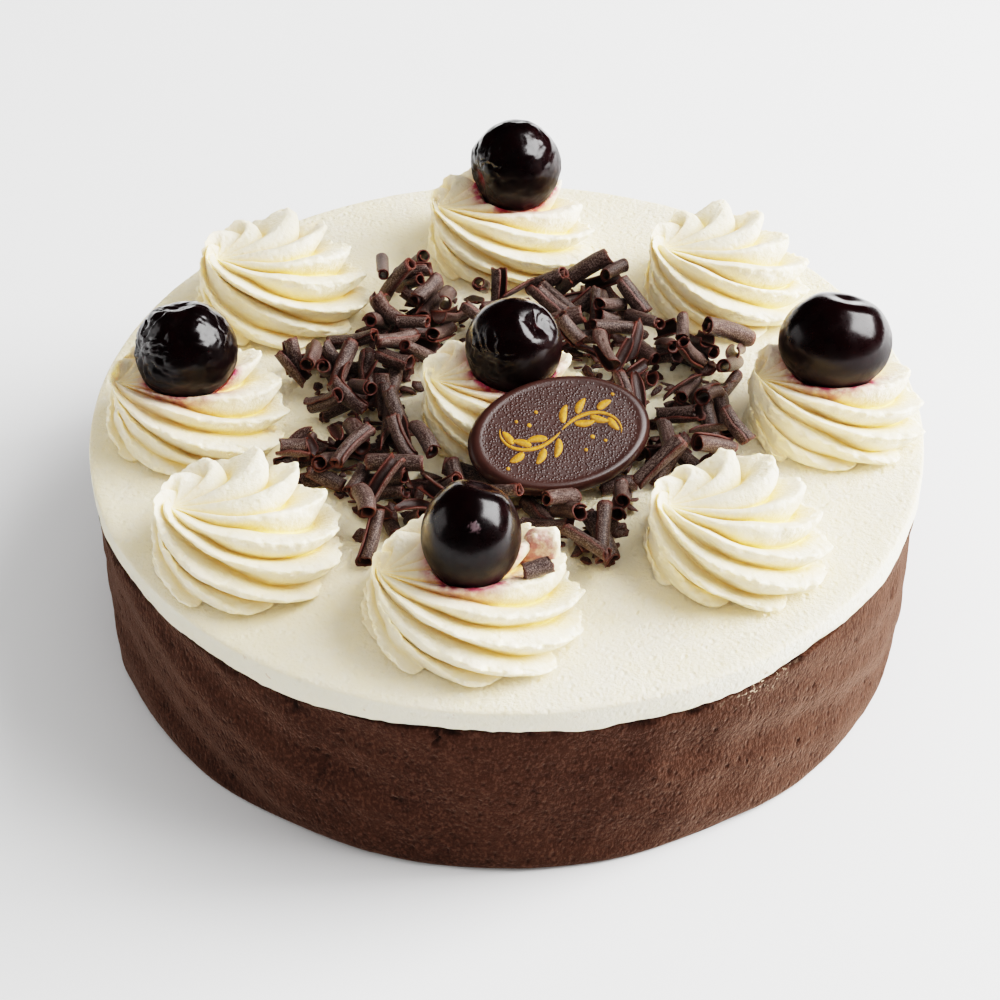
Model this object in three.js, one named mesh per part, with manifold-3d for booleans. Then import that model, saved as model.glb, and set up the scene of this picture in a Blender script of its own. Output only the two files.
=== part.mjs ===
// Black forest cake: a round chocolate sponge under a layer of set cream. On the cream stand
// nine piped rosettes, five of them carrying a cherry, with a ring of chocolate curls round
// the middle one and an oval chocolate plaque leaning on it.
// Millimetres, +Z up. The origin is the centre of the sponge's flat underside, and -Y is the
// side of the cake that the plaque faces.
import * as THREE from "three";
import { mergeVertices } from "three/addons/utils/BufferGeometryUtils.js";
import Module from "manifold-3d";

// ---- Driving dimensions ----
const CAKE_RADIUS = 100;
const CAKE_HEIGHT = 52;
const CREAM_SIDE = 7.6; // height of the cream that shows at the side
const CLEARANCE = 0.3; // between neighbouring pieces
const SIDE_SEGMENTS = 64;

const ROSETTE_RADIUS = 21.6;
const PLAIN_HEIGHT = 17.3;
const SEAT_HEIGHT = 16.5; // a rosette that carries a cherry is shorter
const FINS = 8; // teeth of the piping nozzle

const CURL_COUNT = 112;
const CURL_RADIUS = 2.35;
const CURL_LENGTH = 11.0;
const CURL_SHEET = 0.75;
const CURL_SINK = 0.75; // how deep a curl sits in the cream
const CURL_NEST = 0.8; // share of their radii that curls lying on each other keep apart
const HEAP_INNER = 24; // the heap lies between these radii
const HEAP_OUTER = 58;

const PLAQUE_LENGTH = 44.4;
const PLAQUE_WIDTH = 30;
const PLAQUE_THICKNESS = 4.2;

const DEGREE = Math.PI / 180;
const TOP = CAKE_HEIGHT;

const MATERIALS = {
  sponge: new THREE.MeshStandardMaterial({ color: 0x4a2c22, roughness: 0.92 }),
  cream: new THREE.MeshStandardMaterial({ color: 0xf3ead0, roughness: 0.55 }),
  cherry: new THREE.MeshStandardMaterial({ color: 0x1a0609, roughness: 0.12 }),
  chocolate: new THREE.MeshStandardMaterial({ color: 0x3a1d18, roughness: 0.38 }),
};

const wasm = await Module();
wasm.setup();

// ---- Helpers ----

// Repeatable random numbers from 0 to 1 (mulberry32).
function randomSource(seed) {
  let state = seed >>> 0;
  return () => {
    state = (state + 0x6d2b79f5) >>> 0;
    let t = state;
    t = Math.imul(t ^ (t >>> 15), t | 1);
    t ^= t + Math.imul(t ^ (t >>> 7), t | 61);
    return ((t ^ (t >>> 14)) >>> 0) / 4294967296;
  };
}

const mix = (a, b, share) => a + (b - a) * share;

function geometryOf(points, triangles) {
  const geometry = new THREE.BufferGeometry();
  geometry.setAttribute("position", new THREE.Float32BufferAttribute(points.flat(), 3));
  geometry.setIndex(triangles.flat());
  return geometry;
}

// A closed surface from rings of points that share one count, listed from the lowest ring to
// the highest, each turning counter-clockwise seen from above. bottom and top close its ends.
function ringSurface(rings, bottom, top) {
  const count = rings[0].length;
  const points = [...rings.flat(), bottom, top];
  const bottomIndex = points.length - 2;
  const topIndex = points.length - 1;
  const triangles = [];
  for (let i = 0; i < count; i++) {
    const next = (i + 1) % count;
    triangles.push([bottomIndex, next, i]);
    for (let k = 0; k + 1 < rings.length; k++) {
      const low = k * count;
      const high = low + count;
      triangles.push([low + i, low + next, high + next], [low + i, high + next, high + i]);
    }
    const last = (rings.length - 1) * count;
    triangles.push([last + i, last + next, topIndex]);
  }
  return geometryOf(points, triangles);
}

function toSolid(geometry, matrix = new THREE.Matrix4()) {
  const plain = new THREE.BufferGeometry();
  plain.setAttribute("position", geometry.getAttribute("position").clone());
  plain.setIndex(geometry.index);
  const merged = mergeVertices(plain.applyMatrix4(matrix), 1e-4);
  return new wasm.Manifold(
    new wasm.Mesh({
      numProp: 3,
      vertProperties: merged.attributes.position.array,
      triVerts: new Uint32Array(merged.index.array),
    }),
  );
}

function toGeometry(solid) {
  const mesh = solid.getMesh();
  const geometry = new THREE.BufferGeometry();
  geometry.setAttribute("position", new THREE.BufferAttribute(mesh.vertProperties, 3));
  geometry.setIndex(new THREE.BufferAttribute(mesh.triVerts, 1));
  return geometry;
}

// The largest connected body of a solid, so that no loose scrap is kept.
function mainBody(solid) {
  return solid.decompose().reduce((a, b) => (b.volume() > a.volume() ? b : a));
}

const cake = new THREE.Group();

function addMesh(name, geometry, material) {
  const mesh = new THREE.Mesh(geometry, MATERIALS[material]);
  mesh.name = name;
  cake.add(mesh);
}

// ---- Sponge and cream layer ----

// Unevenness of the side that fades out on the X and Y axes, which keeps the origin central.
function sideWave(angle, phase) {
  const fade = Math.abs(Math.sin(2 * angle));
  const wave = Math.sin(7 * angle + phase) + 0.7 * Math.sin(13 * angle + 2.1 * phase);
  return fade * wave * 0.55;
}

// Height of the line where the cream meets the sponge, at the side of the cake.
function seamHeight(angle) {
  const slow = 0.55 * Math.sin(3 * angle + 0.6) + 0.25 * Math.sin(8 * angle + 1.9);
  return TOP - CREAM_SIDE + slow + 0.08 * Math.sin(19 * angle);
}

const SEAM_RADIUS = CAKE_RADIUS - 0.6;
const seamRadius = (angle) => SEAM_RADIUS + sideWave(angle, 4);

// One ring of the cake's side: radius and height at each segment.
function sideRing(radiusAt, heightAt) {
  return Array.from({ length: SIDE_SEGMENTS }, (_, i) => {
    const angle = (i / SIDE_SEGMENTS) * 2 * Math.PI;
    const radius = radiusAt(angle);
    return [radius * Math.cos(angle), radius * Math.sin(angle), heightAt(angle)];
  });
}

function spongeGeometry() {
  const footRadius = CAKE_RADIUS - 0.8;
  const flatTop = TOP - CREAM_SIDE;
  const wall = [0.03, 0.36, 0.7].map((share) =>
    sideRing(
      (angle) => mix(footRadius, SEAM_RADIUS, share) + sideWave(angle, 9 * share) * 0.9,
      (angle) => seamHeight(angle) * share,
    ),
  );
  const rings = [
    sideRing((angle) => footRadius - 1.1 + sideWave(angle, 1.5), () => 0),
    ...wall,
    sideRing(seamRadius, seamHeight),
    sideRing(() => CAKE_RADIUS * 0.9, () => flatTop),
  ];
  return ringSurface(rings, [0, 0, 0], [0, 0, flatTop]);
}

function creamGeometry() {
  const underside = TOP - CREAM_SIDE + CLEARANCE;
  const edge = (angle) => seamHeight(angle) + CLEARANCE;
  const belly = CAKE_RADIUS;
  const rings = [
    sideRing(() => CAKE_RADIUS * 0.9, () => underside),
    sideRing(seamRadius, edge),
    sideRing(() => belly, (angle) => mix(edge(angle), TOP, 0.22)),
    sideRing(() => belly - 0.2, (angle) => mix(edge(angle), TOP, 0.62)),
    sideRing(() => belly - 1.0, () => TOP - 1.1),
    sideRing(() => belly - 2.6, () => TOP - 0.25),
    sideRing(() => belly - 5, () => TOP),
  ];
  return ringSurface(rings, [0, 0, underside], [0, 0, TOP]);
}

// ---- Rosettes ----

// Rings of a piped rosette, from the cream up to its apex, as shares of its radius and height:
// [share of the climb, crest radius, crest height, groove height].
const ROSETTE_RINGS = [
  [0.0, 0.88, 0.0, 0.0],
  [0.12, 1.0, 0.11, 0.07],
  [0.3, 0.99, 0.34, 0.22],
  [0.48, 0.91, 0.6, 0.45],
  [0.64, 0.79, 0.83, 0.66],
  [0.78, 0.62, 0.98, 0.8],
  [0.9, 0.36, 0.94, 0.8],
];
const APEX_HEIGHT = 0.72;
const ROSETTE_TWIST = 3.3; // radians the fins turn from foot to apex
const FIN_LEAN = 0.2; // radians the crests lie over their grooves
const PLAIN_APEX = [-0.74, 0.12]; // the nozzle lifts off here, in rosette radii
const SEAT_APEX = [-0.85, 0.08];
const FIRST_TIP = -62 * DEGREE;
const LAST_TIP = 72 * DEGREE;

function smoothStep(low, high, value) {
  return THREE.MathUtils.smoothstep(value, low, high);
}

// 1 where a crest runs out to a point: low at the front right, high at the back right.
function petalTip(angle, climb) {
  const at = mix(FIRST_TIP, LAST_TIP, Math.min(1, climb / 0.72));
  const off = angle - at - 2 * Math.PI * Math.round((angle - at) / (2 * Math.PI));
  const width = off > 0 ? 0.3 : 0.75;
  const present = smoothStep(0.02, 0.14, climb) * (1 - smoothStep(0.68, 0.84, climb));
  return Math.exp(-(Math.abs(off / width) ** 1.3)) * present;
}

// A star-nozzle rosette: fins that wind up from the foot and meet at an apex off its centre.
function rosetteGeometry({ radius, height, turn, seed, apex }) {
  const random = randomSource(seed);
  const finSize = Array.from({ length: FINS }, () => mix(0.88, 1.05, random()));
  const perFin = 4; // crest, flank, groove, flank
  const rings = ROSETTE_RINGS.map(([climb, crestRadius, crestHeight, grooveHeight]) => {
    const shift = (1 - crestRadius) * radius;
    return Array.from({ length: FINS * perFin }, (_, i) => {
      const fin = Math.floor(i / perFin);
      const part = (i % perFin) / perFin;
      const depth = 2 * Math.min(part, 1 - part);
      const grown = part > 0.5 ? finSize[(fin + 1) % FINS] : finSize[fin];
      const wander = 0.09 * Math.sin(3 * climb * Math.PI + 2.1 * fin + seed);
      const angle =
        turn +
        (2 * Math.PI * (fin + part)) / FINS -
        ROSETTE_TWIST * climb ** 1.25 +
        FIN_LEAN * (1 - depth) +
        wander * Math.sin(Math.PI * part) ** 2;
      const tip = petalTip(angle, climb);
      const own = crestRadius * mix(1, grown, Math.sin(Math.PI * climb) ** 0.3);
      const crest = mix(own, 1.04, 0.85 * tip);
      const toApex = Math.max(0, Math.cos(angle - Math.atan2(apex[1], apex[0])));
      const groove = crestRadius * mix(mix(0.8, 0.55, climb), 0.9, toApex);
      const r = mix(crest, groove, depth) * radius;
      const z = mix(crestHeight - 0.04 * tip, grooveHeight, depth) * height;
      return [r * Math.cos(angle) + apex[0] * shift, r * Math.sin(angle) + apex[1] * shift, z];
    });
  });
  return ringSurface(rings, [0, 0, 0], [apex[0] * radius, apex[1] * radius, APEX_HEIGHT * height]);
}

// Where each rosette stands, its size, and the cherry that it carries: its middle's offset from
// the rosette's, its semi-axes, and the lean of its stalk end with the side it leans to.
const ROSETTES = {
  front: {
    at: [-7.0, -71.0],
    size: 1.1,
    cherry: { offset: [-0.5, 2.6, 22.0], axes: [10.7, 11.6, 12.2], lean: 35, towards: -20 },
  },
  front_right: { at: [51.3, -50.0], size: 0.97 },
  right: {
    at: [77.5, -2.4],
    size: 1.0,
    cherry: { offset: [-0.3, 3.2, 21.6], axes: [13.2, 12.2, 11.4], lean: 30, towards: 30 },
  },
  back_right: { at: [55.3, 49.0], size: 1.0 },
  back: {
    at: [0.4, 69.0],
    size: 1.0,
    cherry: { offset: [1.8, 5.3, 22.2], axes: [11.8, 11.8, 12.0], lean: 78, towards: 200 },
  },
  back_left: { at: [-56.9, 44.2], size: 1.0 },
  left: {
    at: [-73.6, -4.6],
    size: 1.0,
    cherry: { offset: [-1.4, 1.2, 21.8], axes: [12.4, 12.0, 11.5], lean: 70, towards: 215 },
  },
  front_left: { at: [-58.4, -51.0], size: 1.0 },
  centre: {
    at: [0.6, -3.2],
    size: 1.0,
    cherry: { offset: [1.0, 3.5, 20.4], axes: [11.5, 11.5, 11.5], lean: 42, towards: 20 },
  },
};
const ROSETTE_NAMES = Object.keys(ROSETTES);

ROSETTE_NAMES.forEach((name, index) => {
  const spot = ROSETTES[name];
  [spot.x, spot.y] = spot.at;
  spot.seed = 11 + index;
  spot.turn = 0.35 * index;
  spot.radius = ROSETTE_RADIUS * spot.size;
  spot.height = spot.cherry ? SEAT_HEIGHT : PLAIN_HEIGHT;
  spot.apex = spot.cherry ? SEAT_APEX : PLAIN_APEX;
});

// ---- Cherries ----

// A cherry of unit size: round, with the dimple of its stalk end at the top.
function cherryGeometry() {
  const sphere = new THREE.SphereGeometry(1, 14, 9).rotateX(Math.PI / 2);
  const position = sphere.getAttribute("position");
  const point = new THREE.Vector3();
  for (let i = 0; i < position.count; i++) {
    point.fromBufferAttribute(position, i);
    const fromStalk = Math.acos(THREE.MathUtils.clamp(point.z, -1, 1));
    const dimple = 0.2 * Math.exp(-((fromStalk / 0.42) ** 2));
    const shoulder = 0.03 * Math.exp(-(((fromStalk - 0.75) / 0.3) ** 2));
    point.multiplyScalar(1 - dimple + shoulder);
    position.setXYZ(i, point.x, point.y, point.z);
  }
  return sphere;
}

// Places the unit cherry on its rosette. grow is added to each semi-axis.
function cherryMatrix({ x, y, cherry }, grow = 0) {
  const towards = cherry.towards * DEGREE;
  const axis = new THREE.Vector3(-Math.sin(towards), Math.cos(towards), 0);
  const tilt = new THREE.Quaternion().setFromAxisAngle(axis, cherry.lean * DEGREE);
  const size = new THREE.Matrix4().makeScale(...cherry.axes.map((semi) => semi + grow));
  const [dx, dy, dz] = cherry.offset;
  const place = new THREE.Matrix4().makeTranslation(x + dx, y + dy, TOP + dz);
  return place.multiply(size).multiply(new THREE.Matrix4().makeRotationFromQuaternion(tilt));
}

// ---- Plaque ----

const PLAQUE_CENTRE = new THREE.Vector3(11.9, -21.9, TOP + 10.0);
const PLAQUE_TURN = 24 * DEGREE; // about Z
const PLAQUE_SLOPE = 21 * DEGREE; // its back edge is raised by this

// An oval plaque with a rounded rim, its underside's centre at the origin.
function plaqueGeometry(grow = 0) {
  const profile = [
    [0.9, 0],
    [0.985, 0.22],
    [1.0, 0.5],
    [0.965, 0.82],
    [0.88, 1.0],
    [0.84, 0.95],
  ];
  const segments = 30;
  const rings = profile.map(([share, height]) =>
    Array.from({ length: segments }, (_, i) => {
      const angle = (i / segments) * 2 * Math.PI;
      return [
        ((PLAQUE_LENGTH / 2) * share + grow) * Math.cos(angle),
        ((PLAQUE_WIDTH / 2) * share + grow) * Math.sin(angle),
        mix(-grow, PLAQUE_THICKNESS + grow, height),
      ];
    }),
  );
  return ringSurface(rings, [0, 0, -grow], [0, 0, PLAQUE_THICKNESS + grow]);
}

function plaqueMatrix() {
  const turn = new THREE.Matrix4().makeRotationZ(PLAQUE_TURN);
  const slope = new THREE.Matrix4().makeRotationX(PLAQUE_SLOPE);
  const place = new THREE.Matrix4().makeTranslation(...PLAQUE_CENTRE);
  return place.multiply(turn).multiply(slope);
}

// Height of the plaque's underside over a point of the cream, or Infinity beside the plaque.
function plaqueUnderside(x, y, margin) {
  const inverse = plaqueMatrix().invert();
  const from = new THREE.Vector3(x, y, 0).applyMatrix4(inverse);
  const along = new THREE.Vector3(0, 0, 1).transformDirection(inverse);
  const rise = -from.z / along.z;
  const hit = from.addScaledVector(along, rise);
  const across = hit.x / (PLAQUE_LENGTH / 2 + margin);
  const deep = hit.y / (PLAQUE_WIDTH / 2 + margin);
  return across * across + deep * deep > 1 ? Infinity : rise;
}

// ---- Chocolate curls ----

// A shaving rolled up along X: a few flats whose radius steps in at the seam, with hollow ends.
function rolledGeometry({ length, radius, taper }) {
  const flats = 6;
  const section = (x, scale) =>
    Array.from({ length: flats }, (_, k) => {
      const angle = (k / flats) * 2 * Math.PI;
      const skin = radius * scale * mix(1.08, 0.9, k / (flats - 1));
      return [x, skin * Math.cos(angle), skin * Math.sin(angle)];
    });
  const rings = [section(-length / 2, 1), section(length / 2, taper)];
  const bottom = length / 2 - 0.8 * radius;
  return ringSurface(rings, [-bottom, 0, 0], [bottom, 0, 0]);
}

// An open shaving along X: an arc of sheet, bent by sweep radians, whose end narrows by taper.
function openGeometry({ length, radius, sweep, taper }) {
  const arcs = sweep > Math.PI ? 4 : 3;
  const bulge = 1.1; // makes up for the few flats of the arc
  const section = (x, scale) => {
    const outer = [];
    const inner = [];
    for (let k = 0; k <= arcs; k++) {
      const angle = -sweep / 2 + (sweep * k) / arcs;
      const skin = radius * scale * bulge;
      const bore = skin - CURL_SHEET;
      outer.push([x, skin * Math.sin(angle), skin * Math.cos(angle)]);
      inner.unshift([x, bore * Math.sin(angle), bore * Math.cos(angle)]);
    }
    return [...outer, ...inner];
  };
  const ends = [section(-length / 2, 1), section(length / 2, taper)];
  const count = ends[0].length;
  const points = ends.flat();
  const triangles = [];
  for (let i = 0; i < count; i++) {
    const next = (i + 1) % count;
    triangles.push([i, count + next, next], [i, count + i, count + next]);
  }
  for (let k = 0; k < arcs; k++) {
    const near = [k, k + 1, count - 2 - k, count - 1 - k];
    const far = near.map((i) => i + count);
    triangles.push([near[0], near[1], near[2]], [near[0], near[2], near[3]]);
    triangles.push([far[0], far[2], far[1]], [far[0], far[3], far[2]]);
  }
  return geometryOf(points, triangles);
}

// Curls that lie apart from the heap: [x, y, turn in degrees, length].
const STRAY_CURLS = [
  [-48, 19, 28, 13.5],
  [-51, -14, 62, 9],
  [56, 25, 40, 13],
  [-33, -52, 66, 11],
  [27, -54, 120, 7],
  [-13, 46, 18, 11],
  [16, 43, 22, 13],
];

const REST_SAMPLES = 9; // points along a curl where its support is looked up
const STEEPEST_RISE = 0.75; // as a share of half its length
const HIGHEST_AXIS = 11; // over the cream
const PROPPED_FROM = 0.8; // draws above this stand a curl up

// Height that the axis of a lying curl needs over a point, from the cream and from the curls
// already there.
function restHeight(x, y, radius, placed) {
  let height = TOP + radius - CURL_SINK;
  for (const other of placed) {
    const t = ((x - other.x) * other.ux + (y - other.y) * other.uy) / other.half;
    const s = Math.max(-1, Math.min(1, t));
    const dx = x - (other.x + s * other.half * other.ux);
    const dy = y - (other.y + s * other.half * other.uy);
    const reach = (radius + other.radius) * CURL_NEST;
    const gap = reach * reach - dx * dx - dy * dy;
    if (gap > 0) height = Math.max(height, other.z + s * other.rise + Math.sqrt(gap));
  }
  return height;
}

// Lets a curl down on what lies under it. A curl without a pitch of its own tips until it bears
// on two points on either side of its middle. Returns null where it would stand too steep or
// too high.
function settle(x, y, turn, pitch, length, radius, placed) {
  const ux = Math.cos(turn);
  const uy = Math.sin(turn);
  const half = (length / 2) * Math.cos(pitch);
  const shares = Array.from({ length: REST_SAMPLES }, (_, i) => (2 * i) / (REST_SAMPLES - 1) - 1);
  const heights = shares.map((s) =>
    restHeight(x + s * half * ux, y + s * half * uy, radius, placed),
  );
  const lift = (rise) => Math.max(...shares.map((s, i) => heights[i] - s * rise));
  let rise = (length / 2) * Math.sin(pitch);
  if (pitch === 0) {
    let lowest = Infinity;
    for (let a = 0; a < REST_SAMPLES; a++) {
      for (let b = a + 1; b < REST_SAMPLES; b++) {
        if (shares[a] > 0 || shares[b] < 0) continue;
        const slope = (heights[b] - heights[a]) / (shares[b] - shares[a]);
        if (lift(slope) < lowest - 1e-6) {
          lowest = lift(slope);
          rise = slope;
        }
      }
    }
    if (Math.abs(rise) > STEEPEST_RISE * half) return null;
  }
  const z = lift(rise);
  if (z - TOP > HIGHEST_AXIS) return null;
  return { x, y, ux, uy, half, radius, z, rise };
}

// True where a curl stays clear of every rosette and of the plaque over it.
function curlIsClear(curl) {
  for (let s = -1; s <= 1; s += 0.5) {
    const x = curl.x + s * curl.half * curl.ux;
    const y = curl.y + s * curl.half * curl.uy;
    const over = curl.z + s * curl.rise + curl.radius + 2 * CLEARANCE;
    if (plaqueUnderside(x, y, curl.radius + 1) < over) return false;
    for (const spot of Object.values(ROSETTES)) {
      const reach = spot.radius * 1.07 + curl.radius + CLEARANCE;
      if (Math.hypot(x - spot.x, y - spot.y) < reach) return false;
    }
  }
  return true;
}

// Strays first, then curls dropped at random over the heap's ring until there are enough. Some
// are propped up steeply, and some are open shavings instead of rolls.
function placeCurls() {
  const random = randomSource(2024);
  const placed = [];
  const drop = (x, y, turn, pitch, length, radius) => {
    const curl = settle(x, y, turn, pitch, length, radius, placed);
    if (!curl || !curlIsClear(curl)) return;
    const kind = random();
    curl.roll = random() * 2 * Math.PI;
    curl.sweep = mix(7.6, 9.4, random());
    if (kind > 0.7) curl.sweep = mix(3.6, 5.0, random());
    if (kind > 0.86) curl.sweep = mix(1.7, 2.6, random());
    if (kind > 0.7) curl.roll = Math.PI + (curl.roll - Math.PI) * 0.5; // opens upwards
    curl.taper = mix(0.84, 1.0, random());
    placed.push(curl);
  };
  for (const [x, y, turn, length] of STRAY_CURLS) {
    drop(x, y, turn * DEGREE, 0, length, CURL_RADIUS);
  }
  while (placed.length < CURL_COUNT) {
    const r = Math.sqrt(mix(HEAP_INNER ** 2, HEAP_OUTER ** 2, random() ** 1.25));
    const around = random() * 2 * Math.PI;
    const turn = random() * 2 * Math.PI;
    const propped = random();
    const pitch = propped > PROPPED_FROM ? mix(0.45, 1.05, random()) : 0;
    const length = CURL_LENGTH * mix(0.72, 1.3, random());
    const radius = CURL_RADIUS * mix(0.8, 1.12, random());
    drop(1 + r * Math.cos(around), -1 + r * Math.sin(around), turn, pitch, length, radius);
  }
  return placed;
}

function curlSolid(curl) {
  const { x, y, z, ux, uy, half, rise, radius, roll, sweep, taper } = curl;
  const along = new THREE.Vector3(ux * half, uy * half, rise);
  const length = 2 * along.length();
  along.normalize();
  const side = new THREE.Vector3(-uy, ux, 0);
  const up = new THREE.Vector3().crossVectors(along, side);
  const frame = new THREE.Matrix4().makeBasis(along, side, up).setPosition(x, y, z);
  frame.multiply(new THREE.Matrix4().makeRotationX(roll));
  const rolledUp = sweep > 2 * Math.PI;
  const shape = rolledUp
    ? rolledGeometry({ length, radius, taper })
    : openGeometry({ length, radius, sweep, taper });
  return toSolid(shape, frame);
}

// ---- Assembly ----

addMesh("sponge", spongeGeometry(), "sponge");

const curls = placeCurls().map(curlSolid);
const dressedCream = wasm.Manifold.union([toSolid(creamGeometry()), ...curls]);
addMesh("cream_layer_with_curls", toGeometry(mainBody(dressedCream)), "cream");

const plaquePlace = plaqueMatrix();
addMesh("plaque", toGeometry(toSolid(plaqueGeometry(), plaquePlace)), "chocolate");
const plaqueDent = toSolid(plaqueGeometry(CLEARANCE + 0.05), plaquePlace);

for (const name of ROSETTE_NAMES) {
  const spot = ROSETTES[name];
  const place = new THREE.Matrix4().makeTranslation(spot.x, spot.y, TOP + CLEARANCE);
  let cream = toSolid(rosetteGeometry(spot), place);
  if (spot.cherry) {
    const cherry = cherryGeometry();
    const dent = toSolid(cherry, cherryMatrix(spot, CLEARANCE + 0.1));
    cream = cream.subtract(dent);
    addMesh(`cherry_${name}`, toGeometry(toSolid(cherry, cherryMatrix(spot))), "cherry");
  }
  if (name === "centre") cream = cream.subtract(plaqueDent);
  addMesh(`rosette_${name}`, toGeometry(mainBody(cream)), "cream");
}

export default cake;
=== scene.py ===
"""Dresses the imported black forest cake: sponge, set cream, piped rosettes, cherries, chocolate
curls, an oval plaque with a gold flourish, a floor, soft lights and a camera.
Lengths are millimetres until a mesh is made, and metres on the stage. +Z is up."""

import math

import bpy
import numpy as np
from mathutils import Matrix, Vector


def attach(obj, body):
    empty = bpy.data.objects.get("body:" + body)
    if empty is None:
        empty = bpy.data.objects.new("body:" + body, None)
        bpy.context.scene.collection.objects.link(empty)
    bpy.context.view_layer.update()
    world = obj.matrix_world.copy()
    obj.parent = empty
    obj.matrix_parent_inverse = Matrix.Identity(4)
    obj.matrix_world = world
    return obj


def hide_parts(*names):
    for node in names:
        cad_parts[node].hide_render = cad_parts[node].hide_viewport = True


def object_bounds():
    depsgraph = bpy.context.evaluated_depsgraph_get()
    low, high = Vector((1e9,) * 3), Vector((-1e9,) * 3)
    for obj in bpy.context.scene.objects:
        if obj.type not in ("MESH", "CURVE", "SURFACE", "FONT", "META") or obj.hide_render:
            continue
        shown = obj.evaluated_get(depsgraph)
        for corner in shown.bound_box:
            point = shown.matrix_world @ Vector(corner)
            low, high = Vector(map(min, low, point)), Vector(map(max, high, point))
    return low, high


bl_info = {
    "name": "Black forest cake",
    "version": (1, 0, 0),
    "blender": (4, 5, 0),
    "location": "3D View > Sidebar > Cake",
    "description": "Builds a round black forest cake with rosettes, cherries, curls and a plaque",
    "category": "Add Mesh",
}

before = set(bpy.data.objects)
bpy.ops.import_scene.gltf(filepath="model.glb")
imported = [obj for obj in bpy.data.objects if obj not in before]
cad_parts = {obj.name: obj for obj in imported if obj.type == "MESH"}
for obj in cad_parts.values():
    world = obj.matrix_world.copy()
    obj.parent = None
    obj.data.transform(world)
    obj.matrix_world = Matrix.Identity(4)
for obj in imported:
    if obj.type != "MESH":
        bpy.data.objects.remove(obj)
CAD_BOX = [list(corner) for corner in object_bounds()]

MM = 0.001
CAKE_RADIUS = 1000 * CAD_BOX[1][0]
CREAM_TOP = 52.0
CREAM_SIDE = 7.6
SEAM_RADIUS = CAKE_RADIUS - 0.6
FOOT_RADIUS = CAKE_RADIUS - 0.8
# Unseen inner edges: of the sponge's foot, and of sponge and cream where they meet.
HIDDEN_FOOT_RADIUS = 97.2
HIDDEN_RADIUS = 90.0
CLEARANCE = 0.3

# Each rosette's centre, its size, and the semi-axes and middle of the cherry that it carries.
ROSETTES = {
    "front": ((-7.0, -71.0), 1.1, ((10.7, 11.6, 12.2), (-7.5, -68.4, 74.0))),
    "front_right": ((51.3, -50.0), 0.97, None),
    "right": ((77.5, -2.4), 1.0, ((13.2, 12.2, 11.4), (77.2, 0.8, 73.6))),
    "back_right": ((55.3, 49.0), 1.0, None),
    "back": ((0.4, 69.0), 1.0, ((11.8, 11.8, 12.0), (2.2, 74.3, 74.2))),
    "back_left": ((-56.9, 44.2), 1.0, None),
    "left": ((-73.6, -4.6), 1.0, ((12.4, 12.0, 11.5), (-75.0, -3.4, 73.8))),
    "front_left": ((-58.4, -51.0), 1.0, None),
    "centre": ((0.6, -3.2), 1.0, ((11.5, 11.5, 11.5), (1.6, 0.3, 72.4))),
}
ROSETTE_RADIUS = 21.6
PLAIN_HEIGHT = 17.3
SEAT_HEIGHT = 16.5

PLAQUE_CENTRE = np.array([11.9, -21.9, CREAM_TOP + 10.0])
PLAQUE_TURN = math.radians(24)
PLAQUE_SLOPE = math.radians(21)
PLAQUE_HALF = (22.2, 15.0)
PLAQUE_THICKNESS = 4.2
FACE_SHARE = 0.965  # the sunk face's height over the plaque's back
PLAQUE_FACE = FACE_SHARE * PLAQUE_THICKNESS

CURL_RADIUS = 2.35
CURL_LENGTH = 11.0
CURL_SINK = 0.75
CURL_NEST = 0.8


# ---- Numbers and noise ----


def random_source(seed):
    """Repeatable numbers from 0 to 1, the same ones that the curls' solids were laid with."""
    state = seed & 0xFFFFFFFF

    def draw():
        nonlocal state
        state = (state + 0x6D2B79F5) & 0xFFFFFFFF
        t = state
        t = ((t ^ (t >> 15)) * (t | 1)) & 0xFFFFFFFF
        t ^= (t + (((t ^ (t >> 7)) * (t | 61)) & 0xFFFFFFFF)) & 0xFFFFFFFF
        return ((t ^ (t >> 14)) & 0xFFFFFFFF) / 4294967296

    return draw


def mix(a, b, share):
    return a + (b - a) * share


def smooth_step(low, high, values):
    """Rises from 0 at low to 1 at high, or falls where high is under low."""
    share = np.clip((values - low) / (high - low), 0, 1)
    return share * share * (3 - 2 * share)


def full_turn(count):
    """Angles of count points round a circle."""
    return np.linspace(0, 2 * np.pi, count, endpoint=False)


def turn_from(angle, start):
    """Signed angle from start, at most half a turn either way."""
    return (angle - start + np.pi) % (2 * np.pi) - np.pi


def cell_value(cells, seed):
    """One repeatable number from -1 to 1 for each whole-numbered cell."""
    with np.errstate(over="ignore"):
        n = cells.astype(np.uint64)
        mixed = n[..., 0] * np.uint64(73856093)
        mixed ^= n[..., 1] * np.uint64(19349663)
        mixed ^= n[..., 2] * np.uint64(83492791)
        mixed ^= np.uint64(seed * 2654435761 & 0xFFFFFFFFFFFF)
        mixed ^= mixed >> np.uint64(33)
        mixed *= np.uint64(0xFF51AFD7ED558CCD)
        mixed ^= mixed >> np.uint64(33)
        mixed *= np.uint64(0xC4CEB9FE1A85EC53)
        mixed ^= mixed >> np.uint64(33)
    return (mixed >> np.uint64(11)).astype(float) / 2**52 - 1


def value_noise(points, seed):
    base = np.floor(points).astype(np.int64)
    part = points - base
    part = part**3 * (part * (part * 6 - 15) + 10)
    total = np.zeros(points.shape[:-1])
    for corner in np.ndindex(2, 2, 2):
        weight = 1.0
        for axis in range(3):
            along = part[..., axis]
            weight = weight * (along if corner[axis] else 1 - along)
        total += weight * cell_value(base + np.array(corner), seed)
    return total


def fractal(points, size, octaves, seed):
    """Layered noise from about -1 to 1 whose largest lumps are size across."""
    total = np.zeros(np.asarray(points).shape[:-1])
    for k in range(octaves):
        total += 0.5**k * value_noise(points * (2**k / size) + 17.3 * k, seed + k)
    return total


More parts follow.
